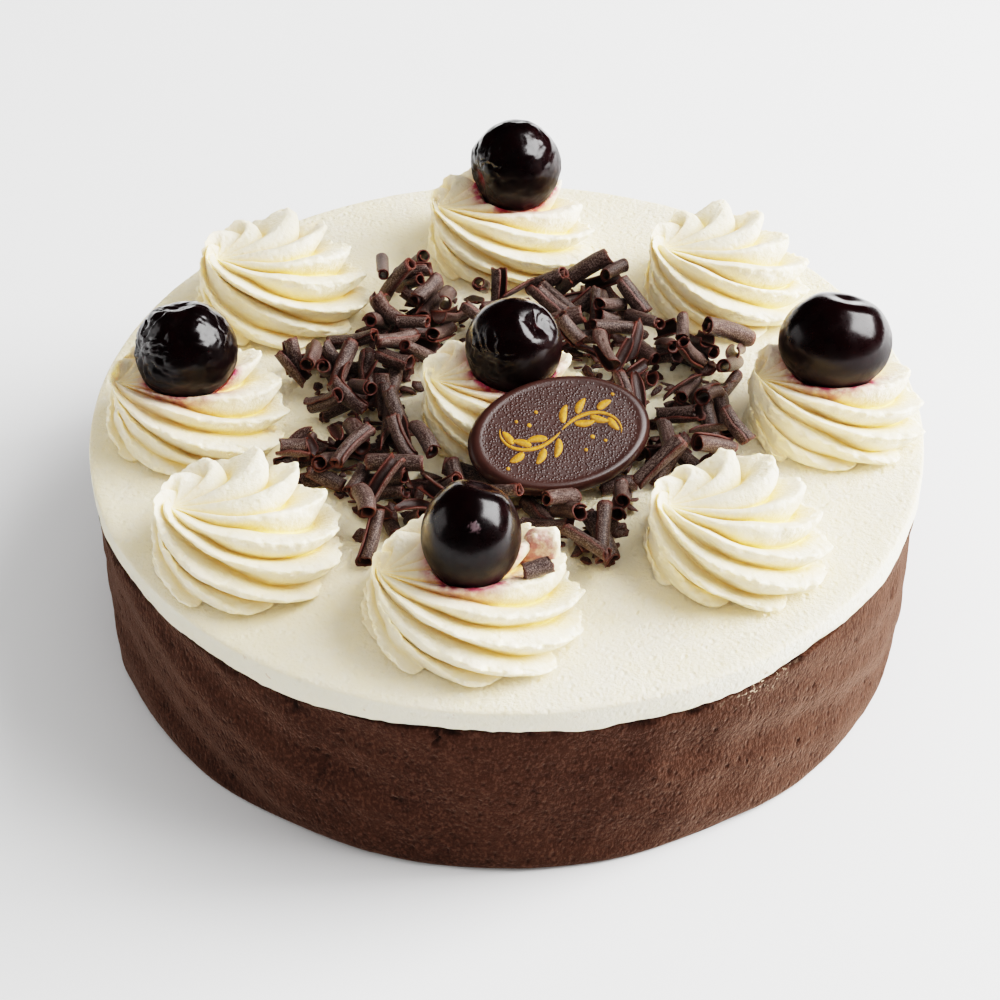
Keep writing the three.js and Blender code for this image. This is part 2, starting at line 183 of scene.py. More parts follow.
def curve_through(knots, shares):
    """Smooth values at shares through (share, value) knots, by a monotone cubic."""
    x = np.array([k[0] for k in knots], float)
    y = np.array([k[1] for k in knots], float)
    slope = np.diff(y) / np.diff(x)
    bend = np.zeros(len(x))
    bend[0] = slope[0]
    bend[-1] = slope[-1]
    same = slope[:-1] * slope[1:] > 0
    both = np.where(same, slope[:-1] + slope[1:], 1)
    bend[1:-1] = np.where(same, 2 * slope[:-1] * slope[1:] / both, 0)
    shares = np.clip(shares, x[0], x[-1])
    i = np.clip(np.searchsorted(x, shares, side="right") - 1, 0, len(x) - 2)
    width = x[i + 1] - x[i]
    t = (shares - x[i]) / width
    start = y[i] * (1 + 2 * t) * (1 - t) ** 2 + bend[i] * width * t * (1 - t) ** 2
    end = y[i + 1] * t * t * (3 - 2 * t) + bend[i + 1] * width * t * t * (t - 1)
    return start + end


# ---- Meshes ----


def ring_faces(rings, count, closed=True):
    """Quads between rings of count points each, turning counter-clockwise seen from above."""
    i = np.arange(count if closed else count - 1)
    k = np.arange(rings - 1)[:, None]
    low = k * count + i
    low_next = k * count + (i + 1) % count
    quads = np.stack([low, low_next, low_next + count, low + count], axis=-1)
    return quads.reshape(-1, 4)


def fan_faces(ring_start, count, tip, upwards):
    """Triangles from a ring of count points to the point tip, facing up or down."""
    i = np.arange(count)
    near = ring_start + i
    far = ring_start + (i + 1) % count
    order = (near, far) if upwards else (far, near)
    return np.stack([*order, np.full(count, tip)], axis=-1)


def closed_faces(rings, count):
    """Faces of rings of count points and of the two tips listed after them, below and above."""
    total = rings * count
    return [
        ring_faces(rings, count),
        fan_faces(0, count, total, False),
        fan_faces(total - count, count, total + 1, True),
    ]


def add_object(name, data):
    thing = bpy.data.objects.new(name, data)
    bpy.context.scene.collection.objects.link(thing)
    return thing


def make_piece(name, points, faces, material, masks=None):
    """A smooth mesh object that rides on the cake. points are in millimetres."""
    mesh = bpy.data.meshes.new(name)
    face_list = [face for block in faces for face in np.asarray(block).tolist()]
    mesh.from_pydata((np.asarray(points) * MM).tolist(), [], face_list)
    mesh.shade_smooth()
    for key, values in (masks or {}).items():
        values = np.asarray(values, np.float32)
        vector = values.ndim == 2
        layer = mesh.attributes.new(key, "FLOAT_VECTOR" if vector else "FLOAT", "POINT")
        layer.data.foreach_set("vector" if vector else "value", values.ravel())
    mesh.materials.append(material)
    mesh.validate()
    piece = add_object(name, mesh)
    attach(piece, "root")
    return piece


# ---- Shader building ----


def new_material(name):
    material = bpy.data.materials.new(name)
    material.use_nodes = True
    tree = material.node_tree
    return material, tree, tree.nodes["Principled BSDF"]


def feed(tree, socket, value):
    """Links another node's output to a socket, or sets the socket to a plain value."""
    if isinstance(value, bpy.types.NodeSocket):
        tree.links.new(value, socket)
    else:
        socket.default_value = value


def fill(tree, node, **inputs):
    """Feeds a node's sockets by name, with _ for each space."""
    for key, value in inputs.items():
        feed(tree, node.inputs[key.replace("_", " ")], value)
    return node


def add_node(tree, kind, settings=None, **inputs):
    """A node of that kind. settings are its properties, and inputs its sockets by name."""
    node = tree.nodes.new(kind)
    for key, value in (settings or {}).items():
        setattr(node, key, value)
    return fill(tree, node, **inputs)


def mix_colour(tree, factor, low, high):
    """Two colours mixed by a mask. Each is a colour or another node's output."""
    node = add_node(tree, "ShaderNodeMix", {"data_type": "RGBA"})
    for index, value in ((0, factor), (6, low), (7, high)):
        feed(tree, node.inputs[index], value)
    return node.outputs[2]


def calculate(tree, operation, first, second=0.0, third=0.0, clamp=False):
    node = add_node(tree, "ShaderNodeMath", {"operation": operation, "use_clamp": clamp})
    for index, value in enumerate((first, second, third)):
        feed(tree, node.inputs[index], value)
    return node.outputs[0]


def remap(tree, value, low, high, to_low=0.0, to_high=1.0):
    node = add_node(tree, "ShaderNodeMapRange", {"interpolation_type": "SMOOTHSTEP"}, Value=value)
    fill(tree, node, From_Min=low, From_Max=high, To_Min=to_low, To_Max=to_high)
    return node.outputs["Result"]


def attribute(tree, name, output="Fac"):
    return add_node(tree, "ShaderNodeAttribute", {"attribute_name": name}).outputs[output]


def object_point(tree):
    return tree.nodes.new("ShaderNodeTexCoord").outputs["Object"]


def noise_node(tree, vector, scale, detail=3.0, roughness=0.55):
    node = add_node(
        tree, "ShaderNodeTexNoise", Vector=vector, Scale=scale, Detail=detail, Roughness=roughness
    )
    return node.outputs["Fac"]


def new_group(name, inputs, outputs):
    """A shader group with those sockets, and the nodes at its two ends."""
    group = bpy.data.node_groups.new(name, "ShaderNodeTree")
    for key, kind, default in inputs:
        socket = group.interface.new_socket(key, in_out="INPUT", socket_type=f"NodeSocket{kind}")
        if default is not None:
            socket.default_value = default
    for key, kind in outputs:
        group.interface.new_socket(key, in_out="OUTPUT", socket_type=f"NodeSocket{kind}")
    return group, group.nodes.new("NodeGroupInput").outputs, group.nodes.new("NodeGroupOutput")


def mottle_group():
    """Soft uneven colour: two sizes of noise that move a colour between two others."""
    name = "Soft mottle"
    if name in bpy.data.node_groups:
        return bpy.data.node_groups[name]
    group, given, end = new_group(
        name,
        [("Vector", "Vector", None), ("Base", "Color", None), ("Patch", "Color", None)]
        + [("Patches per metre", "Float", 60), ("Strength", "Float", 1)],
        [("Color", "Color")],
    )
    size = given["Patches per metre"]
    coarse = noise_node(group, given["Vector"], size, 2)
    coarse = calculate(group, "MULTIPLY", coarse, 0.55)
    fine = noise_node(group, given["Vector"], calculate(group, "MULTIPLY", size, 5.0), 4)
    blend = calculate(group, "MULTIPLY_ADD", fine, 0.45, coarse)
    mask = calculate(group, "MULTIPLY", remap(group, blend, 0.38, 0.62), given["Strength"])
    fill(group, end, Color=mix_colour(group, mask, given["Base"], given["Patch"]))
    return group


def relief_group():
    """Fine surface relief as a height from 0 to 1: grain, plus pits of their own size."""
    name = "Fine relief"
    if name in bpy.data.node_groups:
        return bpy.data.node_groups[name]
    group, given, end = new_group(
        name,
        [("Vector", "Vector", None), ("Grain per metre", "Float", 900)]
        + [("Pits per metre", "Float", 500), ("Pit depth", "Float", 0.5)],
        [("Height", "Float"), ("Pits", "Float")],
    )
    grain = noise_node(group, given["Vector"], given["Grain per metre"], 4, 0.6)
    cells = add_node(
        group, "ShaderNodeTexVoronoi", Vector=given["Vector"], Scale=given["Pits per metre"]
    )
    pits = remap(group, cells.outputs["Distance"], 0.05, 0.38, 1.0, 0.0)
    sunk = calculate(group, "MULTIPLY", pits, given["Pit depth"])
    fill(group, end, Height=calculate(group, "SUBTRACT", grain, sunk), Pits=pits)
    return group


def mottled(tree, vector, base, patch, per_metre, strength=1.0):
    node = add_node(tree, "ShaderNodeGroup", {"node_tree": mottle_group()}, Vector=vector)
    fill(tree, node, Base=base, Patch=patch, Patches_per_metre=per_metre, Strength=strength)
    return node.outputs["Color"]


def relief(tree, vector, grain, pits, depth):
    node = add_node(tree, "ShaderNodeGroup", {"node_tree": relief_group()}, Vector=vector)
    fill(tree, node, Grain_per_metre=grain, Pits_per_metre=pits, Pit_depth=depth)
    return node.outputs["Height"], node.outputs["Pits"]


def bump(tree, shader, height, distance, strength):
    """Fine relief from a height, with the distance in millimetres."""
    node = add_node(
        tree, "ShaderNodeBump", Height=height, Strength=strength, Distance=distance * MM
    )
    fill(tree, shader, Normal=node.outputs["Normal"])


def colour_of(value, red=1.0, green=1.0, blue=1.0):
    """A chosen colour as a socket takes it, each part of it times a share."""
    return (value[0] * red, value[1] * green, value[2] * blue, 1.0)


def shaded(value, share):
    return colour_of(value, share, share, share)


# ---- Sizes and colours that a user would change ----


def colour_property(name, description, default):
    return bpy.props.FloatVectorProperty(
        name=name, description=description, subtype="COLOR", size=3, min=0, max=1, default=default
    )


class CakeSizes(bpy.types.PropertyGroup):
    """Sizes of the visible detail."""

    sponge_relief: bpy.props.FloatProperty(
        name="Sponge relief",
        description="Depth of the sponge's crumb and wrinkles",
        default=0.42 * MM,
        min=0,
        unit="LENGTH",
    )
    crest_ragged: bpy.props.FloatProperty(
        name="Crest raggedness",
        description="How far the rosettes' crests stray from a clean line",
        default=0.27 * MM,
        min=0,
        unit="LENGTH",
    )
    curl_count: bpy.props.IntProperty(
        name="Curls", description="Chocolate curls in the heap", default=190, min=7, max=200
    )
    curl_sheet: bpy.props.FloatProperty(
        name="Curl thickness",
        description="Thickness of the shaved chocolate",
        default=0.55 * MM,
        min=0.1 * MM,
        unit="LENGTH",
    )
    shard_count: bpy.props.IntProperty(
        name="Shards", description="Small broken bits among the curls", default=420, min=1, max=900
    )
    flourish_width: bpy.props.FloatProperty(
        name="Flourish width",
        description="Widest stroke of the plaque's gold flourish",
        default=1.45 * MM,
        min=0.2 * MM,
        unit="LENGTH",
    )


class CakeColours(bpy.types.PropertyGroup):
    """Colours of the cake's materials, in linear values."""

    sponge: colour_property("Sponge", "Chocolate sponge", (0.048, 0.0198, 0.0118))
    # The dark sponge colour is both the crumb's own darker tone and the painted shade in pits,
    # cracks and pores.
    sponge_dark: colour_property("Sponge, dark", "Darker crumb", (0.028, 0.0108, 0.0066))
    crumb: colour_property("Crumb", "Lighter specks of the sponge", (0.108, 0.050, 0.033))
    cream: colour_property("Cream", "Set and piped cream", (0.97, 0.862, 0.645))
    # The deep cream colour is painted shade, laid into the rosettes' folds.
    cream_fold_shade: colour_property("Cream, deep", "Cream down in the folds", (0.95, 0.64, 0.19))
    cherry: colour_property("Cherry", "Cherry skin", (0.0032, 0.0008, 0.0011))
    juice: colour_property("Juice", "Cherry juice on the cream", (0.40, 0.06, 0.10))
    chocolate: colour_property("Chocolate", "Dark chocolate", (0.027, 0.0103, 0.0078))
    # The edge colour is a painted glow of light through the chocolate's thin edges.
    chocolate_edge_glow: colour_property("Chocolate edge", "Thin edges", (0.13, 0.026, 0.014))
    bloom: colour_property("Bloom", "Pale dust on the curls", (0.25, 0.185, 0.16))
    gold: colour_property("Gold", "Plaque's flourish", (0.52, 0.22, 0.014))


def sizes():
    return bpy.context.scene.cake_sizes


def colours():
    return bpy.context.scene.cake_colours


# ---- Sponge and cream layer ----

# Depths of the sponge's broad folds, its lumps and its pores, as shares of its relief.
FOLD_SHARE, LUMP_SHARE, PORE_SHARE = 1.75, 0.42, 1.8
SPONGE_INSET = 0.33
CRACK_DEPTH = 0.9
FOOT_TUCK = 1.1
FLOURY_AT = math.radians(304)
FLOURY_WIDTH = 0.07
FLOUR = (0.55, 0.42, 0.30, 1.0)
CREAM_SPECK = (0.62, 0.40, 0.22, 1.0)
# Cracks that run down from the seam: azimuth in degrees, length and width.
CRACKS = ((-98.5, 5.5, 0.5), (-96.6, 1.6, 2.2), (-66.0, 2.2, 1.8), (-30.0, 3.5, 0.5), (64, 5, 0.5))
# The cream layer's rim, by shares of the way up and over it: height, and distance past the cake.
RIM_HEIGHT = [(0, 0), (0.05, 0.02), (0.5, 0.58), (0.78, 0.9), (1, 1.0)]
RIM_REACH = [(0, -1.2), (0.05, -0.25), (0.16, 0), (0.5, -0.12), (0.8, -0.4), (0.93, -1.0)]
RIM_REACH += [(1.0, -2.6)]


def side_wave(angle, phase):
    fade = np.abs(np.sin(2 * angle))
    return fade * (np.sin(7 * angle + phase) + 0.7 * np.sin(13 * angle + 2.1 * phase)) * 0.55


def seam_height(angle):
    slow = 0.55 * np.sin(3 * angle + 0.6) + 0.25 * np.sin(8 * angle + 1.9)
    return CREAM_TOP - CREAM_SIDE + slow + 0.08 * np.sin(19 * angle)


def ragged_seam(angle):
    """The seam with its small nicks, shared by the sponge's shoulder and the cream's edge."""
    circle = polar_points(CAKE_RADIUS, angle, np.zeros_like(angle))
    nicks = 0.35 * fractal(circle, 9, 3, 71) + 0.22 * fractal(circle, 2.4, 2, 75)
    return seam_height(angle) + nicks - 0.2


def polar_points(radius, angle, height):
    return np.stack([radius * np.cos(angle), radius * np.sin(angle), height], axis=-1)


def sponge_material():
    c = colours()
    material, tree, shader = new_material("Chocolate sponge")
    point = object_point(tree)
    tall = add_node(tree, "ShaderNodeMapping", Vector=point, Scale=(1.0, 1.0, 0.65))
    crumb, pits = relief(tree, tall.outputs["Vector"], 1300, 520, 0.7)
    wide = mottled(tree, point, colour_of(c.sponge), colour_of(c.sponge_dark), 55, 0.55)
    speck = noise_node(tree, tall.outputs["Vector"], 1350, 2, 0.6)
    light = mix_colour(tree, remap(tree, speck, 0.46, 0.7, 0, 0.6), wide, colour_of(c.crumb))
    # Painted shade: the pits are darkened toward the dark sponge colour.
    dark = calculate(tree, "MULTIPLY", pits, 0.75)
    colour = mix_colour(tree, dark, light, colour_of(c.sponge_dark))
    # Painted shade: cracks, nicks and pores turn nearly black through the crack mask.
    crack = attribute(tree, "crack")
    colour = mix_colour(tree, crack, colour, shaded(c.sponge_dark, 0.25))
    spots = remap(tree, noise_node(tree, point, 950, 2), 0.6, 0.66)
    floury = calculate(tree, "MULTIPLY", spots, attribute(tree, "floury"))
    colour = mix_colour(tree, floury, colour, FLOUR)
    fill(tree, shader, Base_Color=colour, Roughness=0.92, Specular_IOR_Level=0.12)
    fill(tree, shader, Sheen_Weight=0.22, Sheen_Roughness=0.4, Sheen_Tint=(1.0, 0.66, 0.5, 1.0))
    height = calculate(tree, "MULTIPLY_ADD", speck, 1.0, crumb)
    bump(tree, shader, height, 0.34, 0.9)
    return material


def crack_mask(angle, below):
    """1 inside the cracks; below is the depth under the seam."""
    mask = np.zeros(np.broadcast(angle, below).shape)
    for azimuth, length, width in CRACKS:
        off = turn_from(angle, math.radians(azimuth))
        zigzag = 0.5 * np.sin(2.3 * below + azimuth) + 0.2 * np.sin(6 * below)
        inside = np.exp(-(((off * CAKE_RADIUS - zigzag) / width) ** 2))
        mask = np.maximum(mask, inside * smooth_step(length, length * 0.6, below))
    return mask


class CAKE_OT_sponge(bpy.types.Operator):
    """Builds the sponge with its rough crumb side"""

    bl_idname = "cake.sponge"
    bl_label = "Sponge"

    def execute(self, context):
        count, rows = 1100, 88
        angle = full_turn(count)
        top = ragged_seam(angle)
        share = np.linspace(0, 1, rows)[:, None]
        height = top * share
        turn = np.broadcast_to(angle, height.shape)
        radius = mix(FOOT_RADIUS, SEAM_RADIUS, share) + side_wave(turn, 9 * share) * 0.9
        radius = radius - np.exp(-height / 0.9) * FOOT_TUCK
        flat = polar_points(radius, turn, height)
        deep = sizes().sponge_relief / MM
        folds = fractal(flat * [1, 1, 0.45], 17, 2, 5)
        lumps = fractal(flat * [1, 1, 0.8], 4.5, 3, 9)
        pores = np.clip(fractal(flat * [1, 1, 1.2], 2.1, 2, 23) - 0.72, 0, None)
        edge = np.sin(np.pi * np.clip(share, 0, 1)) ** 0.3
        below = top - height
        rim = polar_points(CAKE_RADIUS, angle, np.zeros(count))
        nick = smooth_step(0.2, 0.6, fractal(rim, 6, 2, 77)) * smooth_step(2.0, 0.3, below)
        crack = np.maximum(crack_mask(turn, below), 0.8 * nick)
        floury = np.exp(-(((turn - FLOURY_AT) / FLOURY_WIDTH) ** 2)) * smooth_step(7, 1, below)
        rough = FOLD_SHARE * folds + LUMP_SHARE * lumps - PORE_SHARE * pores
        radius = radius + edge * deep * rough - SPONGE_INSET
        side = polar_points(radius - CRACK_DEPTH * crack, turn, height)
        under = top.min() - 0.1
        inner_top = polar_points(HIDDEN_RADIUS, angle, np.full(count, under))
        inner_foot = polar_points(HIDDEN_FOOT_RADIUS, angle, np.zeros(count))
        side[0, :, 2] = 0
        tips = [[0, 0, 0], [0, 0, under]]
        points = np.concatenate([inner_foot, side.reshape(-1, 3), inner_top, tips])
        faces = closed_faces(rows + 2, count)
        hidden = np.zeros(count)
        # Painted shade in the cracks, nicks and pores, carried by the crack mask.
        dark = np.clip(crack + 1.6 * pores, 0, 1) * 0.9
        masks = {
            "crack": np.concatenate([hidden, dark.ravel(), hidden, [0, 0]]),
            "floury": np.concatenate([hidden, floury.ravel(), hidden, [0, 0]]),
        }
        piece = make_piece("sponge_side", points, faces, sponge_material(), masks)
        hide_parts("sponge")
        return {"FINISHED"}


def cream_shader(name, roughness, relief_depth, with_folds):
    """Pale cream that lets light in. Painted fold shade and juice come from the mesh's own masks.
    """
    c = colours()
    material, tree, shader = new_material(name)
    point = object_point(tree)
    warm = colour_of(c.cream, 0.985, 0.955, 0.86)
    colour = mottled(tree, point, colour_of(c.cream), warm, 45, 0.8)
    if with_folds:
        # Painted shade: deep yellow laid down the rosettes' folds.
        deep = calculate(tree, "POWER", attribute(tree, "fold"), 2.2)
        deep = calculate(tree, "MULTIPLY", deep, 0.85)
        colour = mix_colour(tree, deep, colour, colour_of(c.cream_fold_shade))
        juice = attribute(tree, "juice")
        patchy = remap(tree, noise_node(tree, point, 420, 4), 0.3, 0.6, 0.35, 1.0)
        stained = calculate(tree, "MULTIPLY", juice, patchy, clamp=True)
        colour = mix_colour(tree, stained, colour, colour_of(c.juice))
    else:
        side = attribute(tree, "side")
        cooler = colour_of(c.cream, 0.93, 0.98, 1.05)
        colour = mix_colour(tree, calculate(tree, "MULTIPLY", side, 0.7), colour, cooler)
        speck = noise_node(tree, point, 420, 3, 0.6)
        spotted = calculate(tree, "MULTIPLY", remap(tree, speck, 0.66, 0.72, 0, 0.55), side)
        colour = mix_colour(tree, spotted, colour, CREAM_SPECK)
    fill(tree, shader, Base_Color=colour, Roughness=roughness, Specular_IOR_Level=0.35)
    shader.subsurface_method = "BURLEY"
    fill(tree, shader, Subsurface_Weight=0.85, Subsurface_Scale=1.3 * MM)
    fill(tree, shader, Subsurface_Radius=(1.0, 0.75, 0.38))
    grain, _ = relief(tree, point, 1050, 420, 0.4)
    bump(tree, shader, grain, relief_depth, 1.0)
    return material


class CAKE_OT_cream_layer(bpy.types.Operator):
    """Builds the layer of set cream with its soft rim and wavy lower edge"""

    bl_idname = "cake.cream_layer"
    bl_label = "Cream layer"

    def execute(self, context):
        count = 900
        angle = full_turn(count)
        edge = ragged_seam(angle) + CLEARANCE
        seam = SEAM_RADIUS + side_wave(angle, 4)
        steps = np.concatenate([np.linspace(0, 0.2, 7)[:-1], np.linspace(0.2, 1, 26)])
        rim = CAKE_RADIUS + curve_through(RIM_REACH, steps)
        level = curve_through(RIM_HEIGHT, steps)
        rows = []
        for radius, height in zip(rim, level):
            z = mix(edge, CREAM_TOP, height)
            blend = 1 - smooth_step(0, 0.45, height)
            rows.append(polar_points(mix(radius, seam - 0.2, 0.75 * blend), angle, z))
        for radius in np.linspace(rim[-1], 1.5, 52)[1:]:
            rows.append(polar_points(radius, angle, np.full(count, CREAM_TOP)))
        side = np.array(rows)
        top_share = smooth_step(CREAM_TOP - 3, CREAM_TOP, side[..., 2])
        out = np.hypot(side[..., 0], side[..., 1])
        lumps = fractal(side, 30, 3, 41) * 0.22 + fractal(side, 7, 3, 43) * 0.07
        side[..., 2] += top_share * (lumps - 0.2)
        swell = (1 - top_share) * (fractal(side, 14, 4, 47) * 0.3 - 0.2)
        side[..., :2] *= (1 + swell / out)[..., None]
        floor = CREAM_TOP - CREAM_SIDE + CLEARANCE - 0.6
        hidden = polar_points(HIDDEN_RADIUS, angle, np.full(count, floor))
        tips = [[0, 0, floor], [0, 0, CREAM_TOP - 0.2]]
        points = np.concatenate([hidden, side.reshape(-1, 3), tips])
        faces = closed_faces(len(rows) + 1, count)
        material = cream_shader("Set cream", 0.48, 0.6, False)
        band = 1 - smooth_step(CREAM_TOP - 1.6, CREAM_TOP - 0.4, side[..., 2])
        masks = {"side": np.concatenate([np.zeros(count), band.ravel(), [0, 0]])}
        piece = make_piece("cream_layer", points, faces, material, masks)
        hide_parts("cream_layer_with_curls")
        return {"FINISHED"}


# ---- Rosettes ----

FINS = 8
TWIST = 3.3
LEAN = 0.2
WANDER = 0.11
SQUEEZE = 1.16
SKIN_GAP = 0.25
JUICE_REACH = 1.8
DAB_HALF = (4.3, 3.0, 6.6)
DAB_MIDDLE = (7.2, -61.2, CREAM_TOP + 10.4)
DAB_LEAN = 0.16
PLAIN_APEX = (-0.74, 0.12)
SEAT_APEX = (-0.85, 0.08)
FIRST_TIP = math.radians(-62)
LAST_TIP = math.radians(72)


# Knots of the way from a rosette's foot to its apex, as shares of its radius and of its height.
CREST_RADIUS = [(0, 0.88), (0.06, 0.97), (0.12, 1.0), (0.3, 0.99), (0.48, 0.91), (0.64, 0.79)]
CREST_RADIUS += [(0.78, 0.62), (0.9, 0.36), (1, 0.0)]
CREST_HEIGHT = [(0, 0), (0.12, 0.11), (0.3, 0.34), (0.48, 0.6), (0.64, 0.83), (0.78, 0.98)]
CREST_HEIGHT += [(0.9, 0.94), (1, 0.72)]
GROOVE_HEIGHT = [(0, 0), (0.12, 0.07), (0.3, 0.22), (0.48, 0.45), (0.64, 0.66), (0.78, 0.8)]
GROOVE_HEIGHT += [(0.9, 0.8), (1, 0.72)]


def petal_tips(angle, climb):
    """1 where a crest runs out to a point: low at the front right, high at the back right."""
    at = mix(FIRST_TIP, LAST_TIP, np.clip(climb / 0.72, 0, 1))
    off = turn_from(angle, at)
    width = np.where(off > 0, 0.3, 0.75)
    present = smooth_step(0.02, 0.14, climb) * (1 - smooth_step(0.68, 0.84, climb))
    return np.exp(-np.abs(off / width) ** 1.3) * present


def rosette_points(spot, seed):
    """Points of a piped rosette with its foot at height 0, and its mask of painted shade in the
    folds.
    """
    rings, per_fin = 124, 30
    radius = ROSETTE_RADIUS * ROSETTES[spot][1]
    height = SEAT_HEIGHT if ROSETTES[spot][2] else PLAIN_HEIGHT
    apex = SEAT_APEX if ROSETTES[spot][2] else PLAIN_APEX
    turn = 0.35 * list(ROSETTES).index(spot)
    draw = random_source(seed)
    fin_size = np.array([mix(0.88, 1.05, draw()) for _ in range(FINS)])
    climb = np.linspace(0, 1, rings)[:, None] ** 0.92
    crest_radius = curve_through(CREST_RADIUS, climb)
    crest_height = curve_through(CREST_HEIGHT, climb)
    groove_height = curve_through(GROOVE_HEIGHT, climb)
    around = np.arange(FINS * per_fin) / per_fin
    fin = np.floor(around).astype(int) % FINS
    part = around % 1
    part = part - 0.09 * np.sin(2 * np.pi * part)  # crowds points at the crests
    depth = 2 * np.minimum(part, 1 - part)  # 0 on a crest and 1 in a groove, as blade is
    blade = mix((np.sqrt(depth**2 + 0.02) - 0.1414) / 0.8686, depth**1.8, 0.8)
    grown = np.where(part > 0.5, fin_size[(fin + 1) % FINS], fin_size[fin])
    wander = WANDER * np.sin(2.4 * climb * np.pi + 2.6 * fin + seed) * np.sin(np.pi * part) ** 2
    lean = LEAN * (1 - blade)
    angle = turn + 2 * np.pi * (fin + part) / FINS - TWIST * climb**1.25 + lean + wander
    tip = petal_tips(angle, climb)
    shift = (1 - crest_radius) * radius
    crest = crest_radius * mix(1, grown, np.sin(np.pi * climb) ** 0.3)
    crest = mix(crest, 1.04, 0.85 * tip)
    to_apex = np.clip(np.cos(angle - math.atan2(apex[1], apex[0])), 0, 1)
    groove = crest_radius * mix(mix(0.8, 0.55, climb), 0.9, to_apex)
    r = mix(crest, groove, blade) * radius
    z = mix(crest_height - 0.04 * tip, groove_height, blade) * height
    points = np.stack(
        [r * np.cos(angle) + apex[0] * shift, r * np.sin(angle) + apex[1] * shift, z], axis=-1
    )
    # Mask of the painted fold shade, deepest down the grooves.
    fold = np.broadcast_to(blade, z.shape) * smooth_step(0.0, 0.25, climb) * (1 - 0.6 * to_apex)
    near = points + np.array([31.7 * seed, 0, 0])
    ragged = sizes().crest_ragged / MM
    crumble = 2.2 * ragged * fractal(near, 1.7, 3, seed) * (1 - blade) ** 1.5
    soft = 0.75 * fractal(near, 10, 2, seed + 50) + 0.3 * fractal(near, 3.6, 2, seed + 80)
    outward = polar_points(1, angle, np.full_like(angle, 0.55))
    move = (crumble + soft) * smooth_step(0, 0.08, climb) * (1 - climb**3)
    points = points + outward * move[..., None]
    points[..., 2] = np.maximum(points[..., 2], 0)
    return points, fold


def seat_cherry(points, cherry):
    """Pushes cream out of the cherry's way, and returns the distance left to its skin."""
    axes, middle = cherry
    away = (points - np.array(middle)) / (np.array(axes) + SKIN_GAP)
    length = np.linalg.norm(away, axis=-1, keepdims=True)
    squeeze = np.clip(SQUEEZE - length, 0, None) / SQUEEZE
    pushed = np.array(middle) + away / length * (np.array(axes) + SKIN_GAP)
    points = np.where(length < 1, pushed, points)
    points[..., 2] += 0.9 * squeeze[..., 0] * (length[..., 0] > 1)
    distance = (np.maximum(length, 1) - 1)[..., 0] * np.mean(axes)
    return points, distance


class CAKE_OT_rosettes(bpy.types.Operator):
    """Pipes the nine rosettes and dents those that carry a cherry"""

    bl_idname = "cake.rosettes"
    bl_label = "Rosettes"

    def execute(self, context):
        material = cream_shader("Piped cream", 0.5, 0.4, True)
        for index, spot in enumerate(ROSETTES):
            centre, _, cherry = ROSETTES[spot]
            local, fold = rosette_points(spot, 11 + index)
            points = local + np.array([*centre, CREAM_TOP + 0.05])
            juice = np.zeros(fold.shape)
            if cherry:
                points, distance = seat_cherry(points, cherry)
                patch = 1.1 + 1.3 * fractal(points, 6, 2, 90 + index)
                juice = np.exp(-np.clip(distance - 0.4 * patch, 0, None) / JUICE_REACH)
                juice = juice * smooth_step(-0.35, 0.5, patch)
            rings, count = fold.shape
            flat = points.reshape(-1, 3)
            tip = flat[-count:].mean(axis=0)
            base = np.array([*centre, CREAM_TOP])
            flat = np.concatenate([flat, [base, tip]])
            faces = closed_faces(rings, count)
            masks = {
                "fold": np.concatenate([fold.ravel(), [0, 0.5]]),
                "juice": np.concatenate([juice.ravel(), [0, 0]]),
            }
            name = f"piped_rosette_{spot}"
            piece = make_piece(name, flat, faces, material, masks)
            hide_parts(f"rosette_{spot}")
        points, faces, masks = stained_dab()
        piece = make_piece("stained_cream_dab", points, faces, material, masks)
        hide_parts("rosette_front")
        return {"FINISHED"}


def stained_dab():
    """The blunt end of cream that stands beside the front cherry, stained on the cherry's side."""
    directions, faces = sphere_directions(46, 60)
    blunt = np.sign(directions) * np.abs(directions) ** np.array([0.55, 0.7, 0.75])
    rough = fractal(directions * 4, 1.6, 3, 33)
    points = blunt * np.array(DAB_HALF) * (1 + 0.05 * rough)[:, None]
    points[:, 0] += DAB_LEAN * points[:, 2]
    points += np.array(DAB_MIDDLE)
    side = -0.8 * directions[:, 0] - 0.5 * directions[:, 1]
    juice = smooth_step(-0.3, 0.25, side + 0.2 * rough) * 0.8
    return points, faces, {"fold": np.zeros(len(points)), "juice": juice}


# ---- Cherries ----


def sphere_directions(rings, count):
    """Unit directions on rings from the lowest up, without the poles, and its face blocks."""
    tilt = np.linspace(0, np.pi, rings + 2)[1:-1][:, None]
    angle = full_turn(count)[None]
    ones = np.ones_like(tilt * angle)
    grid = polar_points(np.sin(tilt), angle, -np.cos(tilt) * ones)
    points = np.concatenate([grid.reshape(-1, 3), [[0, 0, -1], [0, 0, 1]]])
    return points, closed_faces(rings, count)


def toward(azimuth, elevation):
    """A unit direction: azimuth from +X about +Z, and elevation over the horizon, in degrees."""
    a, e = math.radians(azimuth), math.radians(elevation)
    return np.array([math.cos(e) * math.cos(a), math.cos(e) * math.sin(a), math.sin(e)])


def angle_from(directions, axis):
    return np.arccos(np.clip(directions @ axis, -1, 1))


def hollow(directions, axis, width, depth):
    """A rounded pit of that half-width in radians, with a slight lip."""
    a = angle_from(directions, axis) / width
    return depth * (np.exp(-(a**2)) - PIT_LIP * np.exp(-((a - 1.6) ** 2) * 3))


